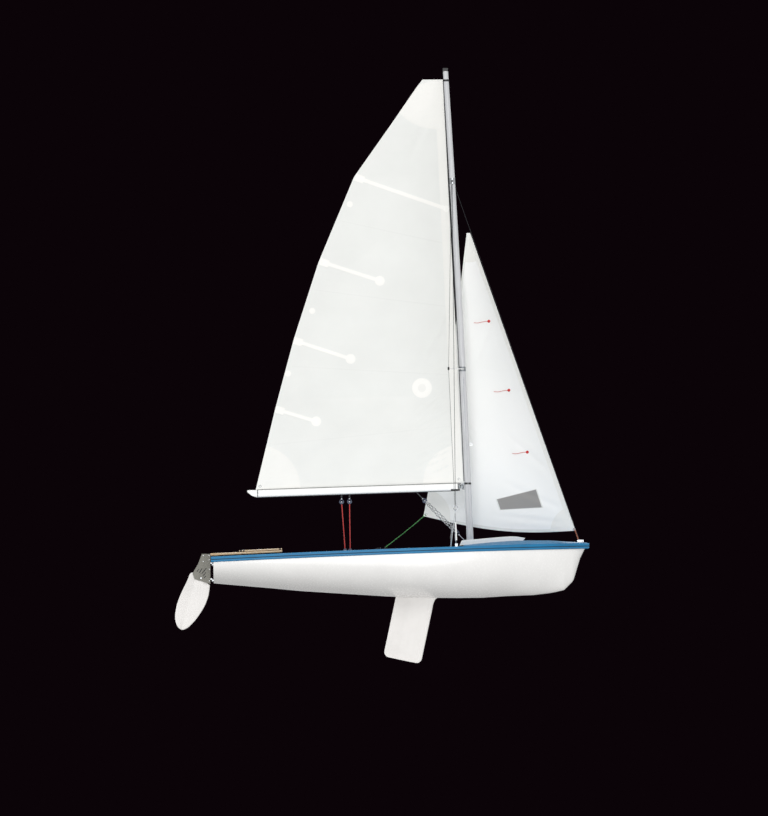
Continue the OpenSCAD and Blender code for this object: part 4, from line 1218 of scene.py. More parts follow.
def corner_patches(surface, body, rows):
    """The fan-shaped patches of a sail's corners. A row is a name, a corner, a radius and two angles, and
    an inner patch lies on top of the outer one."""
    patches = []
    for name, corner, radius, a0, a1 in rows:
        lift = 0.0016 if name.endswith("inner") else 0.0010
        fan = fan_places(corner, 0.004, radius, a0, a1)
        patches.append(sewn(name, surface, *fan, PATCH_CLOTH, body, lift))
    return patches


# %% [markdown]
# ## Mainsail
# The cloth is a thin solid between two offsets of the sail's surface. Everything sewn on it, such as
# tapes, batten pockets and corner patches, is a grid of places found on the same surface and lifted off
# it by less than a millimetre or a few, so it follows each crease.

# %% Mainsail
levels = np.unique(np.concatenate([np.linspace(0, 1, 240), ROACH[:, 0]]))
mainsail = make_piece("mainsail_cloth", *sail_solid(main_cloth, np.linspace(0, 1, 110), levels), CLOTH,
                      "boom", "sailcloth", 50)
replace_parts(mainsail, "mainsail")
sewn_on_main = []


def on_main(name, x, z, material=PATCH_CLOTH, lift=0.0008):
    """Sew a piece on the mainsail and remember it."""
    sewn_on_main.append(sewn(name, main_cloth, x, z, material, "boom", lift))


v = np.linspace(0.004, 0.997, 200)[:, None] * np.ones(6)
chord = FOOT * np.interp(v, ROACH[:, 0], ROACH[:, 1])
across = np.linspace(0, 1, 6)
sewn_on_main.append(sewn_at("luff_tape", main_cloth, 0.002 + 0.100 * across / chord, v, PATCH_CLOTH, "boom",
                            0.0007))
sewn_on_main.append(sewn_at("leech_hem", main_cloth, 1 - 0.0005 - 0.028 * across / chord, v, SEAM_CLOTH,
                            "boom", 0.0005))
u = np.linspace(0.004, 0.996, 100)[:, None] * np.ones(5)
sewn_on_main.append(sewn_at("foot_hem", main_cloth, u, 0.0008 + np.linspace(0, 1, 5) * 0.009 + 0 * u,
                            SEAM_CLOTH, "boom", 0.0005))
for i, (z0, z1) in enumerate([(1.520, 1.660), (2.390, 2.240), (3.240, 3.010), (4.010, 3.720)], 1):
    p = main_point(np.array([0.97, 0.05]), np.array([(z0 - 1.02) / 4.55, (z1 - 1.02) / 4.55]))
    on_main(f"panel_seam_{i}", *strip_places(p[0, [0, 2]], p[1, [0, 2]], 0.014, 80, 3), SEAM_CLOTH, 0.0003)

# A batten's places at the leech and at its inner end, in side view.
BATTENS = [((-0.504, 4.482), (0.491, 4.133)), ((-0.897, 3.543), (-0.244, 3.331)),
           ((-1.191, 2.662), (-0.570, 2.459)), ((-1.395, 1.894), (-0.949, 1.760))]
for i, (outer, inner) in enumerate(BATTENS, 1):
    on_main(f"batten_pocket_{i}", *strip_places(outer, inner, 0.040, 60), BATTEN_CLOTH, 0.0034)
    end = np.array(inner) + 0.02 * (np.array(inner) - outer)
    on_main(f"batten_end_{i}", *disc_places(*end, 0.055 if i > 1 else 0.035), BATTEN_CLOTH, 0.0012)
    reach = np.array(inner) - outer
    patch_end = outer + 0.100 * reach / np.linalg.norm(reach)
    on_main(f"batten_leech_patch_{i}", *strip_places(outer, patch_end, 0.080, 8), BATTEN_CLOTH, 0.0040)
on_main("round_patch", *disc_places(0.240, 2.130, 0.110), BATTEN_CLOTH)
on_main("round_patch_middle", *disc_places(0.240, 2.130, 0.045), PATCH_CLOTH, 0.0014)
for i, (x, z) in enumerate([(-0.566, 4.180), (-0.985, 2.990), (-1.255, 2.290)], 1):
    on_main(f"leech_patch_{i}", *disc_places(x, z, 0.034, 9), BATTEN_CLOTH)
CLEW_CORNER, TACK_CORNER, HEAD_CORNER = (-1.613, 0.998), (0.674, 1.076), (0.400, 5.575)
sewn_on_main += corner_patches(main_cloth, "boom", [("clew_patch", CLEW_CORNER, 0.500, -2, 80),
                                                    ("clew_patch_inner", CLEW_CORNER, 0.250, -2, 80),
                                                    ("tack_patch", TACK_CORNER, 0.420, 90, 182),
                                                    ("head_patch", HEAD_CORNER, 0.560, 200, 292),
                                                    ("head_patch_inner", HEAD_CORNER, 0.300, 200, 292)])
print("mainsail", len(mainsail.data.polygons), "faces")

# %% [markdown]
# ## Jib
# The jib is made in the same way. It has a clear window near the foot, so that the crew sees to leeward,
# and tell-tales: short lengths of red yarn on both faces that stream when the wind flows cleanly over the
# cloth.

# %% Jib
jib = make_piece("jib_cloth", *sail_solid(jib_cloth, np.linspace(0, 1, 90), np.linspace(0, 1, 200)),
                 JIB_CLOTH, "hull", "sailcloth", 50)
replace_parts(jib, "jib")
sewn_on_jib = []
v = np.linspace(0.004, 0.996, 140)[:, None] * np.ones(5)
spread = np.linspace(0, 1, 5)
chord = np.linalg.norm(jib_point(1 + 0 * v, v) - jib_point(0 * v, v), axis=-1)
sewn_on_jib.append(sewn_at("jib_luff_tape", jib_cloth, 0.002 + np.minimum(0.055 / chord, 0.6) * spread, v,
                           PATCH_CLOTH, "hull", 0.0007))
sewn_on_jib.append(sewn_at("jib_leech_hem", jib_cloth, 1 - 0.0005 - np.minimum(0.022 / chord, 0.3) * spread,
                           v, SEAM_CLOTH, "hull", 0.0006))
u = np.linspace(0.004, 0.996, 80)[:, None] * np.ones(4)
sewn_on_jib.append(sewn_at("jib_foot_hem", jib_cloth, u, 0.0008 + np.linspace(0, 1, 4) * 0.008 + 0 * u,
                           SEAM_CLOTH, "hull", 0.0006))
JIB_TACK, JIB_CLEW, JIB_HEAD = (1.944, 0.540), (0.256, 0.702), (0.760, 3.860)
sewn_on_jib += corner_patches(jib_cloth, "hull", [("jib_tack_patch", JIB_TACK, 0.270, 100, 184),
                                                  ("jib_tack_patch_inner", JIB_TACK, 0.140, 100, 184),
                                                  ("jib_clew_patch", JIB_CLEW, 0.300, -30, 84),
                                                  ("jib_clew_patch_inner", JIB_CLEW, 0.160, -30, 84),
                                                  ("jib_head_patch", JIB_HEAD, 0.330, 255, 292)])
FILM = sailcloth("clear_window_film", "#a19f9d", "#a8a6a4", 0.20)
s, t = np.meshgrid(np.linspace(0, 1, 30), np.linspace(0, 1, 14))
corners = np.array([[1.077, 0.889], [1.510, 0.998], [1.577, 0.799], [1.116, 0.774]])
grown = corners + 0.06 * (corners - corners.mean(0))
for name, quad, material, lift in [("jib_window_edge", grown, SEAM_CLOTH, 0.0006),
                                   ("jib_window", corners, FILM, 0.0012)]:
    top = quad[0] + s[..., None] * (quad[1] - quad[0])
    foot = quad[3] + s[..., None] * (quad[2] - quad[3])
    p = top + t[..., None] * (foot - top)
    sewn_on_jib.append(sewn(name, jib_cloth, p[..., 0], p[..., 1], material, "hull", lift))
for i, (x, z) in enumerate([(0.986, 2.874), (1.209, 2.105), (1.415, 1.415)], 1):
    sewn_on_jib.append(sewn(f"tell_tale_dot_{i}", jib_cloth, *disc_places(x, z, 0.016, 9), RED_TAPE, "hull",
                            0.0012))
    run = np.linspace(0, 1, 24)
    px, pz = x - 0.165 * run, z - 0.018 * run + 0.006 * np.sin(7 * run) * run
    uu, vv = place_on(jib_cloth, px, pz)
    centre, n = jib_cloth(uu, vv), normal_of(jib_cloth, uu, vv)
    parts = [tube_mesh(centre + s * (0.0035 + 0.004 * run[:, None]) * n, ring(0.0022, 8)) for s in (1, -1)]
    sewn_on_jib.append(make_piece(f"tell_tale_{i}", *joined(parts), RED_TAPE, "hull", "sailcloth"))
print("jib", len(jib.data.polygons), "faces")

# %% [markdown]
# ## Rigging
# Wires and ropes are round tubes carried along their paths. The shrouds run from the hounds over the
# spreaders' tips to the chainplates. The tackles pull the boom down: the vang to the mast's foot, the
# mainsheet to the traveller on the thwart.

# %% Standing rigging
# Painted shade: the shrouds, forestay and trapeze wires get a dark, shaded copy of the stainless wire rope.
DARK_WIRE = bare_metal("weathered_wire_rope", "#3f4143", 0.45, (400, 400, 120))


def round_tube(path, radius, sides=8):
    """A round tube of even radius along a path. Its upward direction is near Y, since most of the rig's
    lines run in the boat's middle plane or near it."""
    return tube_mesh(path, ring(radius, sides), up=(0.05, 1.0, 0.03))


def cord_piece(name, path, radius, material, body, slot="rope"):
    """A round cord of even radius along a path."""
    return make_piece(name, *round_tube(path, radius, 10), material, body, slot, 60)


def cylinder_between(start, end, radius, sides=16):
    """A plain round bar between two points, as points and faces."""
    return round_tube(np.array([start, end], float), radius, sides)


def torus_mesh(centre, normal, radius, thick, count=28):
    """A ring: a circle of the radius about a centre, square to the normal, carrying a small circle."""
    normal = np.array(normal, float) / np.linalg.norm(normal)
    first = np.cross(normal, (0.3, 0.1, 1.0) if abs(normal[2]) < 0.9 else (1.0, 0.0, 0.0))
    first /= np.linalg.norm(first)
    second = np.cross(normal, first)
    a = np.linspace(0, 2 * math.pi, count, endpoint=False)[:, None]
    path = np.array(centre, float) + radius * (np.cos(a) * first + np.sin(a) * second)
    return tube_mesh(path, ring(thick, 8), up=normal, closed=True)


for name in ("port_shroud", "starboard_shroud", "forestay"):
    finish(name, DARK_WIRE)
for name in ("port_spreader", "starboard_spreader"):
    finish(name, SPAR)
tips, covers, forks = [], [], []
for side in (1, -1):
    tip = np.array([0.5335, side * 0.400, SPREADER_Z])
    chain = np.array([0.6215, side * 0.709, 0.385])
    up = (tip - chain) / np.linalg.norm(tip - chain)
    tips.append(cylinder_between(tip - [0, 0, 0.017], tip + [0, 0, 0.017], 0.010))
    covers.append(cylinder_between(chain + 0.045 * up, chain + 0.250 * up, 0.0085))
    forks.append(cylinder_between(chain - 0.004 * up, chain + 0.050 * up, 0.0055))
    forks.append(cylinder_between(chain - [0, 0.009, 0], chain + [0, 0.009, 0], 0.0042))
make_piece("spreader_tip_fittings", *joined(tips), BLACK, "hull", "black_plastic")
WHITE_TUBE = moulded_plastic("white_plastic_tube", "#e4e5e4", "#eeefee", 0.35)
make_piece("shroud_covers", *joined(covers), WHITE_TUBE, "hull", "webbing")
make_piece("shroud_forks", *joined(forks), STEEL, "hull", "stainless")
hounds = []
for x, z, reach, radius in ((mast_x(HOUNDS_Z), HOUNDS_Z, 0.0285, 0.011),
                            (mast_x(TRAPEZE_Z), TRAPEZE_Z + 0.005, 0.0270, 0.006)):
    hounds.append(cylinder_between((x, -reach, z), (x, reach, z), radius))
make_piece("hounds_bolts", *joined(hounds), BLACK, "hull", "black_plastic")
print("shrouds and spreaders done")

# %% [markdown]
# ## Trapeze wires and mast ropes
# Each side has a thin wire from above the spreaders, with a handle and a ring that the crew hooks on to,
# and a cord that holds it to the shroud's foot. The sail's luff rope and the halyard's tail run along the
# mast. The luff rope is black: it paints the shade in the dark gap of the mast's luff groove.

# %% Trapeze wires and mast ropes
wires, handles, cords, rings = [], [], [], []
for side in (1, -1):
    top = np.array([mast_x(TRAPEZE_Z) - 0.004, side * 0.030, TRAPEZE_Z])
    low = np.array([0.609, side * 0.660, 0.820])
    if side > 0:
        path = np.array([top, [0.5160, 0.420, 2.345], [0.585, 0.655, 0.820]])
        low = path[-1]
    else:
        path = np.array([top, top + 0.5 * (low - top), low])
    wires.append(round_tube(path, 0.0026))
    handles.append(cylinder_between(low + [0.050, 0, 0.170], low + [-0.050, 0, 0.170], 0.0095))
    rings.append(torus_mesh(low - [0, 0, 0.028], (0.2, 1, 0), 0.026, 0.0035))
    foot = np.array([0.560, side * 0.600, 0.352])
    middle = 0.5 * (low + foot) + [0.0, side * 0.012, 0.0]
    cords.append(round_tube(curve_through([low - [0, 0, 0.054], middle, foot], 20), 0.0032))
make_piece("trapeze_wires", *joined(wires), DARK_WIRE, "hull", "wire")
make_piece("trapeze_handles", *joined(handles), BLACK, "hull", "black_plastic")
make_piece("trapeze_rings", *joined(rings), STEEL, "hull", "stainless")
make_piece("trapeze_cords", *joined(cords), WHITE_ROPE, "hull", "rope")

# Painted shade: the black luff rope stands for the dark gap in the mast's luff groove.
z = np.linspace(1.090, 5.545, 120)
cord_piece("luff_rope", np.stack([mast_x(z) - mast_d(z) / 2 - 0.0042, 0 * z, z], axis=1), 0.0040,
           BLACK_ROPE, "hull")
z = np.linspace(0.470, 2.250, 40)
cord_piece("halyard_tail", np.stack([mast_x(z) + 0.004, 0 * z - mast_d(z) * 0.36 - 0.0050, z], axis=1),
           0.0026, WHITE_ROPE, "hull")
print("trapeze wires and mast ropes done")

# %% [markdown]
# ## Lines on the boom
# The outhaul pulls the sail's clew aft. It runs along the boom's lower face, and its tail hangs at the
# gooseneck; its black cord under the boom also paints the shade line along the boom's lower edge. The foot
# rope lies on the groove, and its black cord paints the shadow gap between the sail's foot and the boom.
# Both follow the boom's own formula for its height.

# %% Boom lines
# Painted shade: the black outhaul cord under the boom shows the shade line along the boom's lower edge.
x = np.linspace(-1.600, 0.640, 40)
cord_piece("outhaul_line", np.stack([x, 0 * x - 0.010, boom_z(x) - BOOM_DEPTH / 2 - 0.0028], axis=1),
           0.0028, BLACK_ROPE, "boom")
cord_piece("outhaul_tail", curve_through([(0.640, -0.012, boom_z(0.640) - 0.044), (0.656, -0.016, 1.000),
                                          (0.668, -0.018, 1.030), (0.676, -0.016, 1.052)], 16), 0.0030,
           BLACK_ROPE, "boom")
# Painted shadow: the black foot rope on the groove shows the gap between the sail's foot and the boom.
x = np.linspace(-1.590, 0.650, 60)
cord_piece("foot_rope", np.stack([x, 0 * x - 0.0065, boom_z(x) + BOOM_DEPTH / 2 + 0.0030], axis=1), 0.0026,
           BLACK_ROPE, "boom")
clew = main_point(np.array(0.990), np.array(0.004))
tack = main_point(np.array(0.014), np.array(0.004))
corner_rings = [torus_mesh(clew + [0.022, 0, 0.022], (0, 1, 0), 0.013, 0.0035),
                torus_mesh(tack + [-0.016, 0, 0.022], (0, 1, 0), 0.012, 0.0032)]
make_piece("main_corner_rings", *joined(corner_rings), STEEL, "boom", "stainless")
pin_and_ring = [cylinder_between((0.660, -0.020, 1.062), (0.660, 0.020, 1.062), 0.0050),
                torus_mesh((0.668, -0.0200, 1.050), (0, 1, 0), 0.010, 0.0026)]
make_piece("tack_pin", *joined(pin_and_ring), BLACK, "boom", "black_plastic")
print("boom lines done")

# %% [markdown]
# ## Vang
# The vang holds the boom down: a tackle of four strands between two blocks. Strands of a tackle cross and
# twist a little, so each one is a helix that swells in the middle, and the four share the turn evenly.
# One function makes every block, since the mainsheet's are of the same kind.

# %% Vang
vang_low, vang_high = node_box("vang")
low = np.array([vang_high[0] - 0.008, 0.0, vang_low[2] + 0.008])
high = np.array([BOOM_START - 0.475, 0.0, boom_z(BOOM_START - 0.475) - BOOM_DEPTH / 2])
line = high - low
reach = np.linalg.norm(line)
line /= reach
across = np.array([-line[2], 0.0, line[0]])
upper, lower = low + 0.800 * reach * line, low + 0.170 * reach * line
strands = []
for k in range(4):
    t = np.linspace(0, 1, 60)
    turn = 2 * math.pi * (1.7 * t + k / 4)
    spread = (0.0130 + 0.009 * np.sin(math.pi * t))[:, None]
    round_line = np.cos(turn)[:, None] * across + np.sin(turn)[:, None] * np.array([0.0, 1.0, 0.0])
    strands.append(round_tube(lower + (upper - lower) * t[:, None] + spread * round_line, 0.0044))
FLECKED_ROPE = braid("black_flecked_white_rope", "#e2e3e2", "#22252a", 0.014)
vang = make_piece("vang_tackle", *joined(strands), FLECKED_ROPE, "boom", "rope", 60)
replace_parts(vang, "vang")


def block(name, centre, radius, body, lean=(0, 0, 1), width=0.016):
    """A pulley block: two round cheeks with bosses, a sheave between them and a becket along the lean."""
    lean = np.array(lean, float) / np.linalg.norm(lean)
    centre = np.array(centre, float)
    cheek, gap = 0.0028, width / 2 - 0.0028
    plates = []
    for side in (1, -1):
        h = gap + cheek * np.array([0.0, 0.0, 0.4, 1.0, 1.0, 1.5, 1.5])
        r = np.array([0.0, radius, radius, radius - 0.002, 0.38 * radius, 0.30 * radius, 0.0])
        plates.append(spun(np.stack([np.maximum(r, 1e-5), side * h], axis=1), centre, "y", 32))
        arm = np.array([centre, centre + lean * radius * 1.35]) + [0, side * (gap + cheek / 2), 0]
        plates.append(tube_mesh(arm, [[-cheek / 2, -0.45 * radius], [cheek / 2, -0.45 * radius],
                                      [cheek / 2, 0.45 * radius], [-cheek / 2, 0.45 * radius]],
                                up=np.cross(lean, (0.0, 1.0, 0.0))))
    outline = [[1e-5, -gap * 0.9], [radius * 0.90, -gap * 0.9], [radius * 0.74, -gap * 0.3],
               [radius * 0.74, gap * 0.3], [radius * 0.90, gap * 0.9], [1e-5, gap * 0.9]]
    wheel = spun(outline, centre, "y", 32)
    pin = centre + lean * radius * 1.20
    steel = []
    for place, reach, thick in ((centre, width * 0.72, radius * 0.16), (pin, width * 0.55, radius * 0.14)):
        steel.append(cylinder_between(place - [0, reach, 0], place + [0, reach, 0], thick))
    body_piece = make_piece(name + "_cheeks", *joined(plates), NAVY, body, "black_plastic")
    make_piece(name + "_sheave", *wheel, BLACK, body, "black_plastic")
    make_piece(name + "_pins", *joined(steel), STEEL, body, "stainless")
    return body_piece


block("vang_upper_block", upper + 0.012 * line, 0.027, "boom", line, 0.022)
block("vang_lower_block", lower - 0.012 * line, 0.027, "boom", -line, 0.022)
cord_piece("vang_upper_strop", np.array([upper + 0.040 * line, high + [0, 0, 0.001]]), 0.0045, BLACK_ROPE,
           "boom")
cord_piece("vang_lower_strop", np.array([lower - 0.038 * line, low]), 0.0040, WIRE, "boom", "wire")
tail = lower + 0.10 * reach * line
tail_route = [lower - 0.020 * line - 0.014 * across, lower + 0.05 * line - 0.034 * across,
              tail - 0.050 * across, tail + [-0.01, 0.012, -0.120]]
cord_piece("vang_tail", curve_through(tail_route, 24), 0.0034, FLECKED_ROPE, "boom")
print("vang", round(float(reach), 3), "m long")

# %% [markdown]
# ## Mainsheet
# The mainsheet runs between two blocks under the boom and two on the thwart. It is one rope: down, under
# a lower sheave and up again. It runs from the boom at one end to the hull at the other, and is attached
# to neither body.

# %% Mainsheet
sheaves_up = [np.array([x, 0.0, boom_z(x) - BOOM_DEPTH / 2 - 0.084]) for x in (-0.6561, -0.5681)]
sheaves_low = [np.array([x, 0.0, 0.318]) for x in (-0.6161, -0.5601)]
first = block("mainsheet_boom_block_aft", sheaves_up[0], 0.027, "boom", width=0.026)
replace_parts(first, "boom_blocks")
block("mainsheet_boom_block_fore", sheaves_up[1], 0.027, "boom", width=0.026)
first = block("mainsheet_thwart_block_aft", sheaves_low[0], 0.0235, "hull", (0, 0, -1), 0.026)
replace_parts(first, "mainsheet_blocks")
block("mainsheet_thwart_block_fore", sheaves_low[1], 0.0235, "hull", (0, 0, -1), 0.026)
straps = [cylinder_between(c + [0, 0, 0.033], (c[0], 0, boom_z(c[0]) - BOOM_DEPTH / 2 + 0.001), 0.006)
          for c in sheaves_up]
make_piece("boom_block_straps", *joined(straps), BLACK_ROPE, "boom", "webbing")
posts = [cylinder_between((c[0], 0, 0.2625), c - [0, 0, 0.029], 0.008) for c in sheaves_low]
make_piece("thwart_block_posts", *joined(posts), STEEL, "hull", "stainless")
r_up, r_low = 0.0225, 0.0200
r_fall = 0.0052
falls = []
for low_sheave, high_sheave in ((sheaves_low[1], sheaves_up[1]), (sheaves_low[0], sheaves_up[0])):
    turn = [high_sheave + [0, r_fall * math.cos(a), 0.5 * r_up * math.sin(a)]
            for a in np.linspace(0, math.pi, 9)]
    falls += [low_sheave + [0, r_fall, -0.5 * r_low]] + turn + [low_sheave + [0, -r_fall, -0.5 * r_low]]
steps = [np.array(falls[0])]
for p, q in zip(falls[:-1], falls[1:]):
    parts = max(1, int(np.linalg.norm(q - p) / 0.03))
    steps += [p + (q - p) * (i + 1) / parts for i in range(parts)]
sheet_rope = cord_piece("mainsheet", np.array(steps), 0.0050, RED_ROPE, None)
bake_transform(sheet_rope)
print("mainsheet:", len(steps), "points")

# %% [markdown]
# ## Jib sheet, clew and tack
# The jib's sheet is knotted into the clew's ring and runs to its lead on the side deck, with a slight
# sag. At the tack a cord is lashed three times round between the sail's ring and the bow fitting.

# %% Jib sheet and lashing
jib_corner = place_on(jib_cloth, np.array([0.286]), np.array([0.722]))
corner = jib_cloth(*jib_corner)[0]
corner_n = normal_of(jib_cloth, *jib_corner)[0]
lead = np.array([-0.1725, 0.530, 0.352])
make_piece("jib_clew_ring", *torus_mesh(corner, corner_n, 0.012, 0.0036), STEEL, "hull", "stainless")
knot = [torus_mesh(corner + [-0.010, 0.004, -0.010], (1, 0.4, 1), 0.011, 0.0046),
        torus_mesh(corner + [-0.020, 0.006, -0.016], (0.3, 1, 0.2), 0.010, 0.0046)]
make_piece("jib_sheet_knot", *joined(knot), GREEN_ROPE, "hull", "rope", 60)
t = np.linspace(0, 1, 40)[:, None]
path = corner + [-0.020, 0.006, -0.018] + t * (lead - corner - [-0.020, 0.006, -0.018])
path[:, 2] -= 0.006 * np.sin(math.pi * t[:, 0])
cord_piece("jib_sheet", path, 0.0042, GREEN_ROPE, "hull")
tack_ring = np.array([1.9400, 0.0, 0.556])
make_piece("jib_tack_ring", *torus_mesh(tack_ring + [-0.006, 0.001, 0.0], (0.1, 1, 0), 0.011, 0.0036),
           STEEL, "hull", "stainless")
turns = []
for k in range(3):
    shift = np.array([0.004 * (k - 1), 0.005 * (k - 1), 0])
    loop = [tack_ring + shift + [-0.004, 0, 0.004], tack_ring + shift + [0.018, 0.004, -0.050],
            np.array([1.984, 0.0, 0.434]) + shift]
    turns.append(round_tube(curve_through(loop, 12), 0.0030))
make_piece("jib_tack_lashing", *joined(turns), TAN_ROPE, "hull", "rope", 60)
print("jib sheet", round(float(np.linalg.norm(lead - corner)), 3), "m from clew to lead")

# %% [markdown]
# ## Foils
# The centreboard and the rudder's blade are foils: each level runs from a leading to a trailing edge,
# with the thickness rising fast behind the leading edge and falling slowly to the trailing one.

# %% Foils
def foil_mesh(lead, trail, thickness, count=44, cols=34):
    """A foil between two edges given as matching places in side view. Across the chord, the half thickness
    is a root curve over the first part, flat in the middle and a straight fall to a thin trailing edge."""
    s = np.linspace(0, len(lead) - 1, count)
    front = np.stack([eased(s, np.arange(len(lead)), np.array(lead)[:, i]) for i in (0, 1)], axis=1)
    rear = np.stack([eased(s, np.arange(len(trail)), np.array(trail)[:, i]) for i in (0, 1)], axis=1)
    t = (1 - np.cos(np.linspace(0, math.pi, cols))) / 2
    half = thickness / 2 * np.minimum(1, np.sqrt(t / 0.22)) * np.clip((1 - t) / 0.42 + 0.06, 0, 1)
    half *= 1 - 0.12 * t
    chord = front[:, None] + (rear - front)[:, None] * t[:, None]
    width = np.linalg.norm(rear - front, axis=1)
    half = half[None] * np.clip(width / 0.10, 0.02, 1)[:, None] ** 0.7
    side = np.stack([chord[..., 0], half, chord[..., 1]], axis=-1)
    other = side * [1, -1, 1]
    return sheet_mesh(side, other)


FOIL_GEL = gelcoat("white_foil_gelcoat", "#dcd9d6", "#e3e0dd", 0.16)
axis_x = joints["rudder_turn"]["pos_m"][0]
lead_mm = [(100, 84), (62, 56), (50, 10), (62, -34), (40, -58), (27, -72), (39, -167), (74, -276),
           (135, -384), (208, -481), (272, -542), (316, -564), (334, -566)]
trail_mm = [(170, 84), (243, 62), (268, 8), (284, -30), (294, -50), (306, -74), (365, -203), (399, -310),
            (414, -420), (400, -500), (374, -544), (350, -562), (337, -566)]
lead = [(axis_x - d / 1000, h / 1000) for d, h in lead_mm]
trail = [(axis_x - d / 1000, h / 1000) for d, h in trail_mm]
blade = make_piece("rudder_foil", *foil_mesh(lead, trail, 0.018, 120), FOIL_GEL, "rudder_blade",
                   "white_gelcoat", 50)
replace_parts(blade, "rudder_blade")

pivot = np.array(joints["centreboard_lift"]["pos_m"])[[0, 2]]
LENGTH, SWEEP = 0.8279, math.radians(11.9)
lead_local = [(0.020, 0.097), (0.080, 0.060), (0.098, 0.010), (0.086, -0.050), (0.052, -0.085),
              (0.037, -0.140)]
lead_local += [(0.037, z) for z in np.linspace(-0.25, 0.060 - LENGTH, 6)]
trail_local = [(-0.386, 0.031), (-0.388, 0.010), (-0.388, -0.015), (-0.388, -0.050), (-0.388, -0.085),
               (-0.388, -0.140)]
trail_local += [(-0.388, z) for z in np.linspace(-0.25, 0.060 - LENGTH, 6)]
for a in np.radians([20, 40, 58, 74, 88]):
    lead_local.append((-0.023 + 0.060 * math.cos(a), 0.060 - LENGTH - 0.060 * math.sin(a)))
    trail_local.append((-0.328 - 0.060 * math.cos(a), 0.060 - LENGTH - 0.060 * math.sin(a)))


def swept(places):
    """Board places turned aft about the pivot by the sweep."""
    x, z = np.array(places).T
    return np.stack([pivot[0] + x * math.cos(SWEEP) + z * math.sin(SWEEP),
                     pivot[1] - x * math.sin(SWEEP) + z * math.cos(SWEEP)], axis=1)


board = make_piece("centreboard_foil", *foil_mesh(swept(lead_local), swept(trail_local), 0.024, 110),
                   FOIL_GEL, "centreboard", "white_gelcoat", 50)
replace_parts(board, "centreboard")
print("blade and board:", len(blade.data.polygons) + len(board.data.polygons), "faces")

# %% [markdown]
# ## Rudder head, tiller and extension
# The head is a pair of anodised cheeks with bolts and a few slots milled for lightness, shown here as
# dark shallow inlays on the imported shape, which paint the shade inside each slot. The tiller and its
# extension are ash, shaped from a round-cornered section that gets slimmer towards the hand.

# %% Rudder head
# Each slot runs between two places, given in millimetres aft of the rudder's axis and above the
# waterline.
HEAD_SLOTS = [(169.3, 82.4, 150.1, 108.3), (144.3, 68.0, 111.7, 117.9), (118.4, 58.4, 65.6, 119.8),
              (104.0, 33.4, 69.5, 73.7), (92.5, 10.4, 71.4, 33.4)]
HEAD_BOLTS = [(35, 262), (98, 262), (35, 214), (32, 110), (32, -20), (100, 196)]
BLADE_BOLT = (125, 10)
HEAD_PAINT = coated_metal("grey_anodised_aluminium", "#6a685f", "#78766c", 0.45)
finish("rudder_head", HEAD_PAINT)
# Painted shade: each slot is a black inlay that shows the shade inside it.
slots = []
for aft_0, high_0, aft_1, high_1 in HEAD_SLOTS:
    for side in (1, -1):
        y = side * 0.0182
        run = [[axis_x - aft_0 / 1000, y, high_0 / 1000], [axis_x - aft_1 / 1000, y, high_1 / 1000]]
        slots.append(tube_mesh(run, ring(0.0042, 12) * [1.0, 0.55], up=(0.0, 1.0, 0.0)))
make_piece("rudder_head_slots", *joined(slots), BLACK, "rudder", "black_plastic")
bolts = []
for aft, high in HEAD_BOLTS + [BLADE_BOLT]:
    centre = np.array([axis_x - aft / 1000, 0, high / 1000])
    reach, radius = (0.0248, 0.009) if (aft, high) == BLADE_BOLT else (0.0225, 0.0048)
    bolts.append(cylinder_between(centre - [0, reach, 0], centre + [0, reach, 0], radius, 6))
make_piece("rudder_head_bolts", *joined(bolts), STEEL, "rudder", "stainless")
print("rudder head:", len(slots), "slots,", len(bolts), "bolts")

# %% Tiller and extension
tiller_low, tiller_high = node_box("tiller")
RISE = math.tan(math.radians(2.75))


def along_tiller(share, up=0.0):
    """A place along the tiller's axis, from the rudder head at 0 to its fore end at 1, moved up."""
    x = tiller_low[0] + share * (tiller_high[0] - tiller_low[0])
    return np.array([x, 0.0, 0.2720 + (x - tiller_low[0]) * RISE + up])


shares = np.array([0.0, 0.004, 0.25, 0.5, 0.75, 0.985, 0.996, 1.0])
outlines = [rounded_outline(0.027 - 0.005 * s - (0.004 if s in (0.0, 1.0) else 0),
                            0.026 - 0.004 * s - (0.004 if s in (0.0, 1.0) else 0), 0.007) for s in shares]
path = np.array([along_tiller(s, 0.0005) for s in shares])
tiller = make_piece("tiller_bar", *tube_mesh(path, np.array(outlines)), ASH, "rudder", "varnished_wood", 50)
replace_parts(tiller, "tiller")
t = np.array([0.400, 0.402, 0.42, 0.98, 0.994, 0.996])
radii = np.array([0.0060, 0.0085, 0.0088, 0.0088, 0.0085, 0.0060])
path = np.array([along_tiller(s, 0.0232) for s in t])
extension = make_piece("tiller_extension_bar", *tube_mesh(path, ring(1.0, 20)[None] * radii[:, None, None]),
                       ASH, "rudder", "varnished_wood", 50)
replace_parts(extension, "tiller_extension")
clips = [tube_mesh(np.array([along_tiller(s, 0.0232), along_tiller(s + 0.020, 0.0232)]), ring(0.0098, 20))
         for s in (0.455, 0.960)]
clips += [cylinder_between(along_tiller(s + 0.010, 0.004), along_tiller(s + 0.010, 0.022), 0.0062)
          for s in (0.455, 0.960)]
make_piece("extension_joint_and_clip", *joined(clips), BLACK, "rudder", "black_plastic")
grip_path = np.array([along_tiller(s, 0.0232) for s in np.linspace(0.41, 0.44, 4)])
make_piece("extension_grip", *tube_mesh(grip_path, ring(0.0094, 20)), BLACK, "rudder", "black_plastic")
print("tiller", round(tiller_high[0] - tiller_low[0], 3), "m long")

# %% [markdown]
# ## Cockpit gear
# The mainsheet's traveller is a track let into the thwart, with two stops. The case has a capping of ash
# on each side of its slot, and cam cleats hold the sheets: two toothed cams that close on a rope pulled
# back.

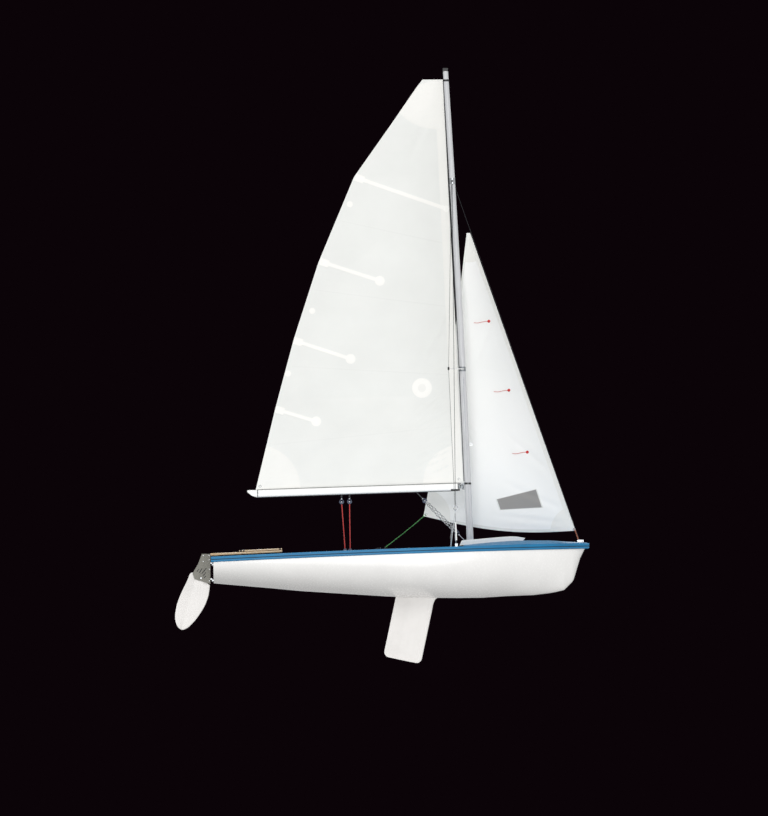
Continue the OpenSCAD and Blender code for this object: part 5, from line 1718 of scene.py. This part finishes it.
# %% Traveller, case capping and cleats
thwart_low, thwart_high = node_box("thwart")
middle = (thwart_low[0] + thwart_high[0]) / 2
rail = box_mesh((middle - 0.014, thwart_low[1] + 0.020, thwart_high[2] - 0.008),
                (middle + 0.014, thwart_high[1] - 0.020, thwart_high[2] + 0.0008))
bevelled(make_piece("traveller_track", *rail, ANODISED, "hull", "anodised"), 0.0015)
fittings = []
for side in (1, -1):
    fittings.append(box_mesh((middle - 0.020, side * 0.430 - 0.012, thwart_high[2] + 0.0004),
                             (middle + 0.020, side * 0.430 + 0.012, thwart_high[2] + 0.016), 0.004))
fittings.append(box_mesh((middle - 0.075, -0.026, thwart_high[2] + 0.0004),
                         (middle + 0.078, 0.026, thwart_high[2] + 0.0034), 0.006))
bevelled(make_piece("traveller_stops_and_plate", *joined(fittings), BLACK, "hull", "black_plastic"), 0.001)

for side, word in ((1, "port"), (-1, "starboard")):
    lip = box_mesh((middle + 0.050, side * 0.0225 - 0.0055, case_high[2] - 0.020),
                   (case_high[0] - 0.004, side * 0.0225 + 0.0055, case_high[2] + 0.006), 0.002)
    bevelled(make_piece("case_capping_" + word, *lip, ASH, "hull", "varnished_wood"), 0.002)


def cam_cleat(name, centre, heading):
    """A cam cleat: a base, two toothed cams on pins and a fairlead hoop, turned to a heading in degrees."""
    a = math.radians(heading)
    ahead, side = np.array([math.cos(a), math.sin(a), 0]), np.array([-math.sin(a), math.cos(a), 0])
    centre = np.array(centre, float)
    base = tube_mesh(np.array([centre - 0.034 * ahead, centre + 0.034 * ahead]),
                     rounded_outline(0.034, 0.008, 0.003))
    parts = [base]
    for s in (1, -1):
        b = np.linspace(0, 2 * math.pi, 36, endpoint=False)
        r = 0.0105 + 0.0012 * np.sign(np.sin(9 * b)) + 0.002 * np.cos(b)
        outline = centre + (r * np.cos(b))[:, None] * ahead + (s * 0.0125 + r * np.sin(b))[:, None] * side
        low_ring, high_ring = outline + [0, 0, 0.004], outline + [0, 0, 0.019]
        points = np.concatenate([low_ring, high_ring])
        parts.append((points, capped(2, len(outline))))
    make_piece(name, *joined(parts), BLACK, "hull", "black_plastic", 30)
    loop = torus_mesh(centre + 0.030 * ahead + [0, 0, 0.010], ahead, 0.011, 0.0018)
    make_piece(name + "_fairlead", *loop, STEEL, "hull", "stainless")


lead_foot = node_box("port_jib_lead")[0][2]
for side, name in ((1, "port"), (-1, "starboard")):
    cam_cleat(f"{name}_jib_cleat", (-0.255, side * 0.560, lead_foot + 0.0035), 0)
cam_cleat("mainsheet_cleat", (middle, 0.130, thwart_high[2] + 0.0048), 90)
print("thwart", round(thwart_high[1] - thwart_low[1], 3), "m across")


# %% [markdown]
# ## Cockpit floor
# The floor has non-slip panels and two self-bailers, which let water out while the boat sails. The packed
# floor is slightly hollow, so each point of a panel is found by a ray cast straight down on it.

# %% Floor panels and self-bailers
def on_floor(x, y, lift=0.0):
    """Places on the cockpit floor's upper face, each found by a ray cast straight down on it."""
    points = []
    for px, py in zip(np.ravel(x), np.ravel(y)):
        hit, spot, _, _ = frame["nodes"]["cockpit_floor"].ray_cast((px, py, 1.0), (0.0, 0.0, -1.0))
        points.append((px, py, (spot[2] if hit else -0.09) + lift))
    return np.array(points).reshape(np.shape(x) + (3,))


for side, word in ((1, "port"), (-1, "starboard")):
    for part, (x0, x1) in (("aft", (-1.98, -0.66)), ("fore", (-0.54, 0.60))):
        gx, gy = np.meshgrid(np.linspace(x0, x1, 40), side * np.linspace(0.055, 0.330, 10), indexing="ij")
        panel = sheet_mesh(on_floor(gx, gy, 0.0014), on_floor(gx, gy, -0.0006))
        make_piece(f"{word}_{part}_floor_grip", *panel, GREY_GRIP, "hull", "grey_gelcoat", 50)
bailers = []
for side in (1, -1):
    spot = on_floor(np.array([-1.20]), np.array([side * 0.190]))[0]
    bailers.append(spun([[1e-5, 0.0], [0.040, 0.0], [0.044, 0.0022], [0.044, 0.0042], [0.030, 0.0060],
                         [1e-5, 0.0062]], spot, "z", 40))
make_piece("self_bailers", *joined(bailers), STEEL, "hull", "stainless", 30)
print(len(bailers), "self-bailers")
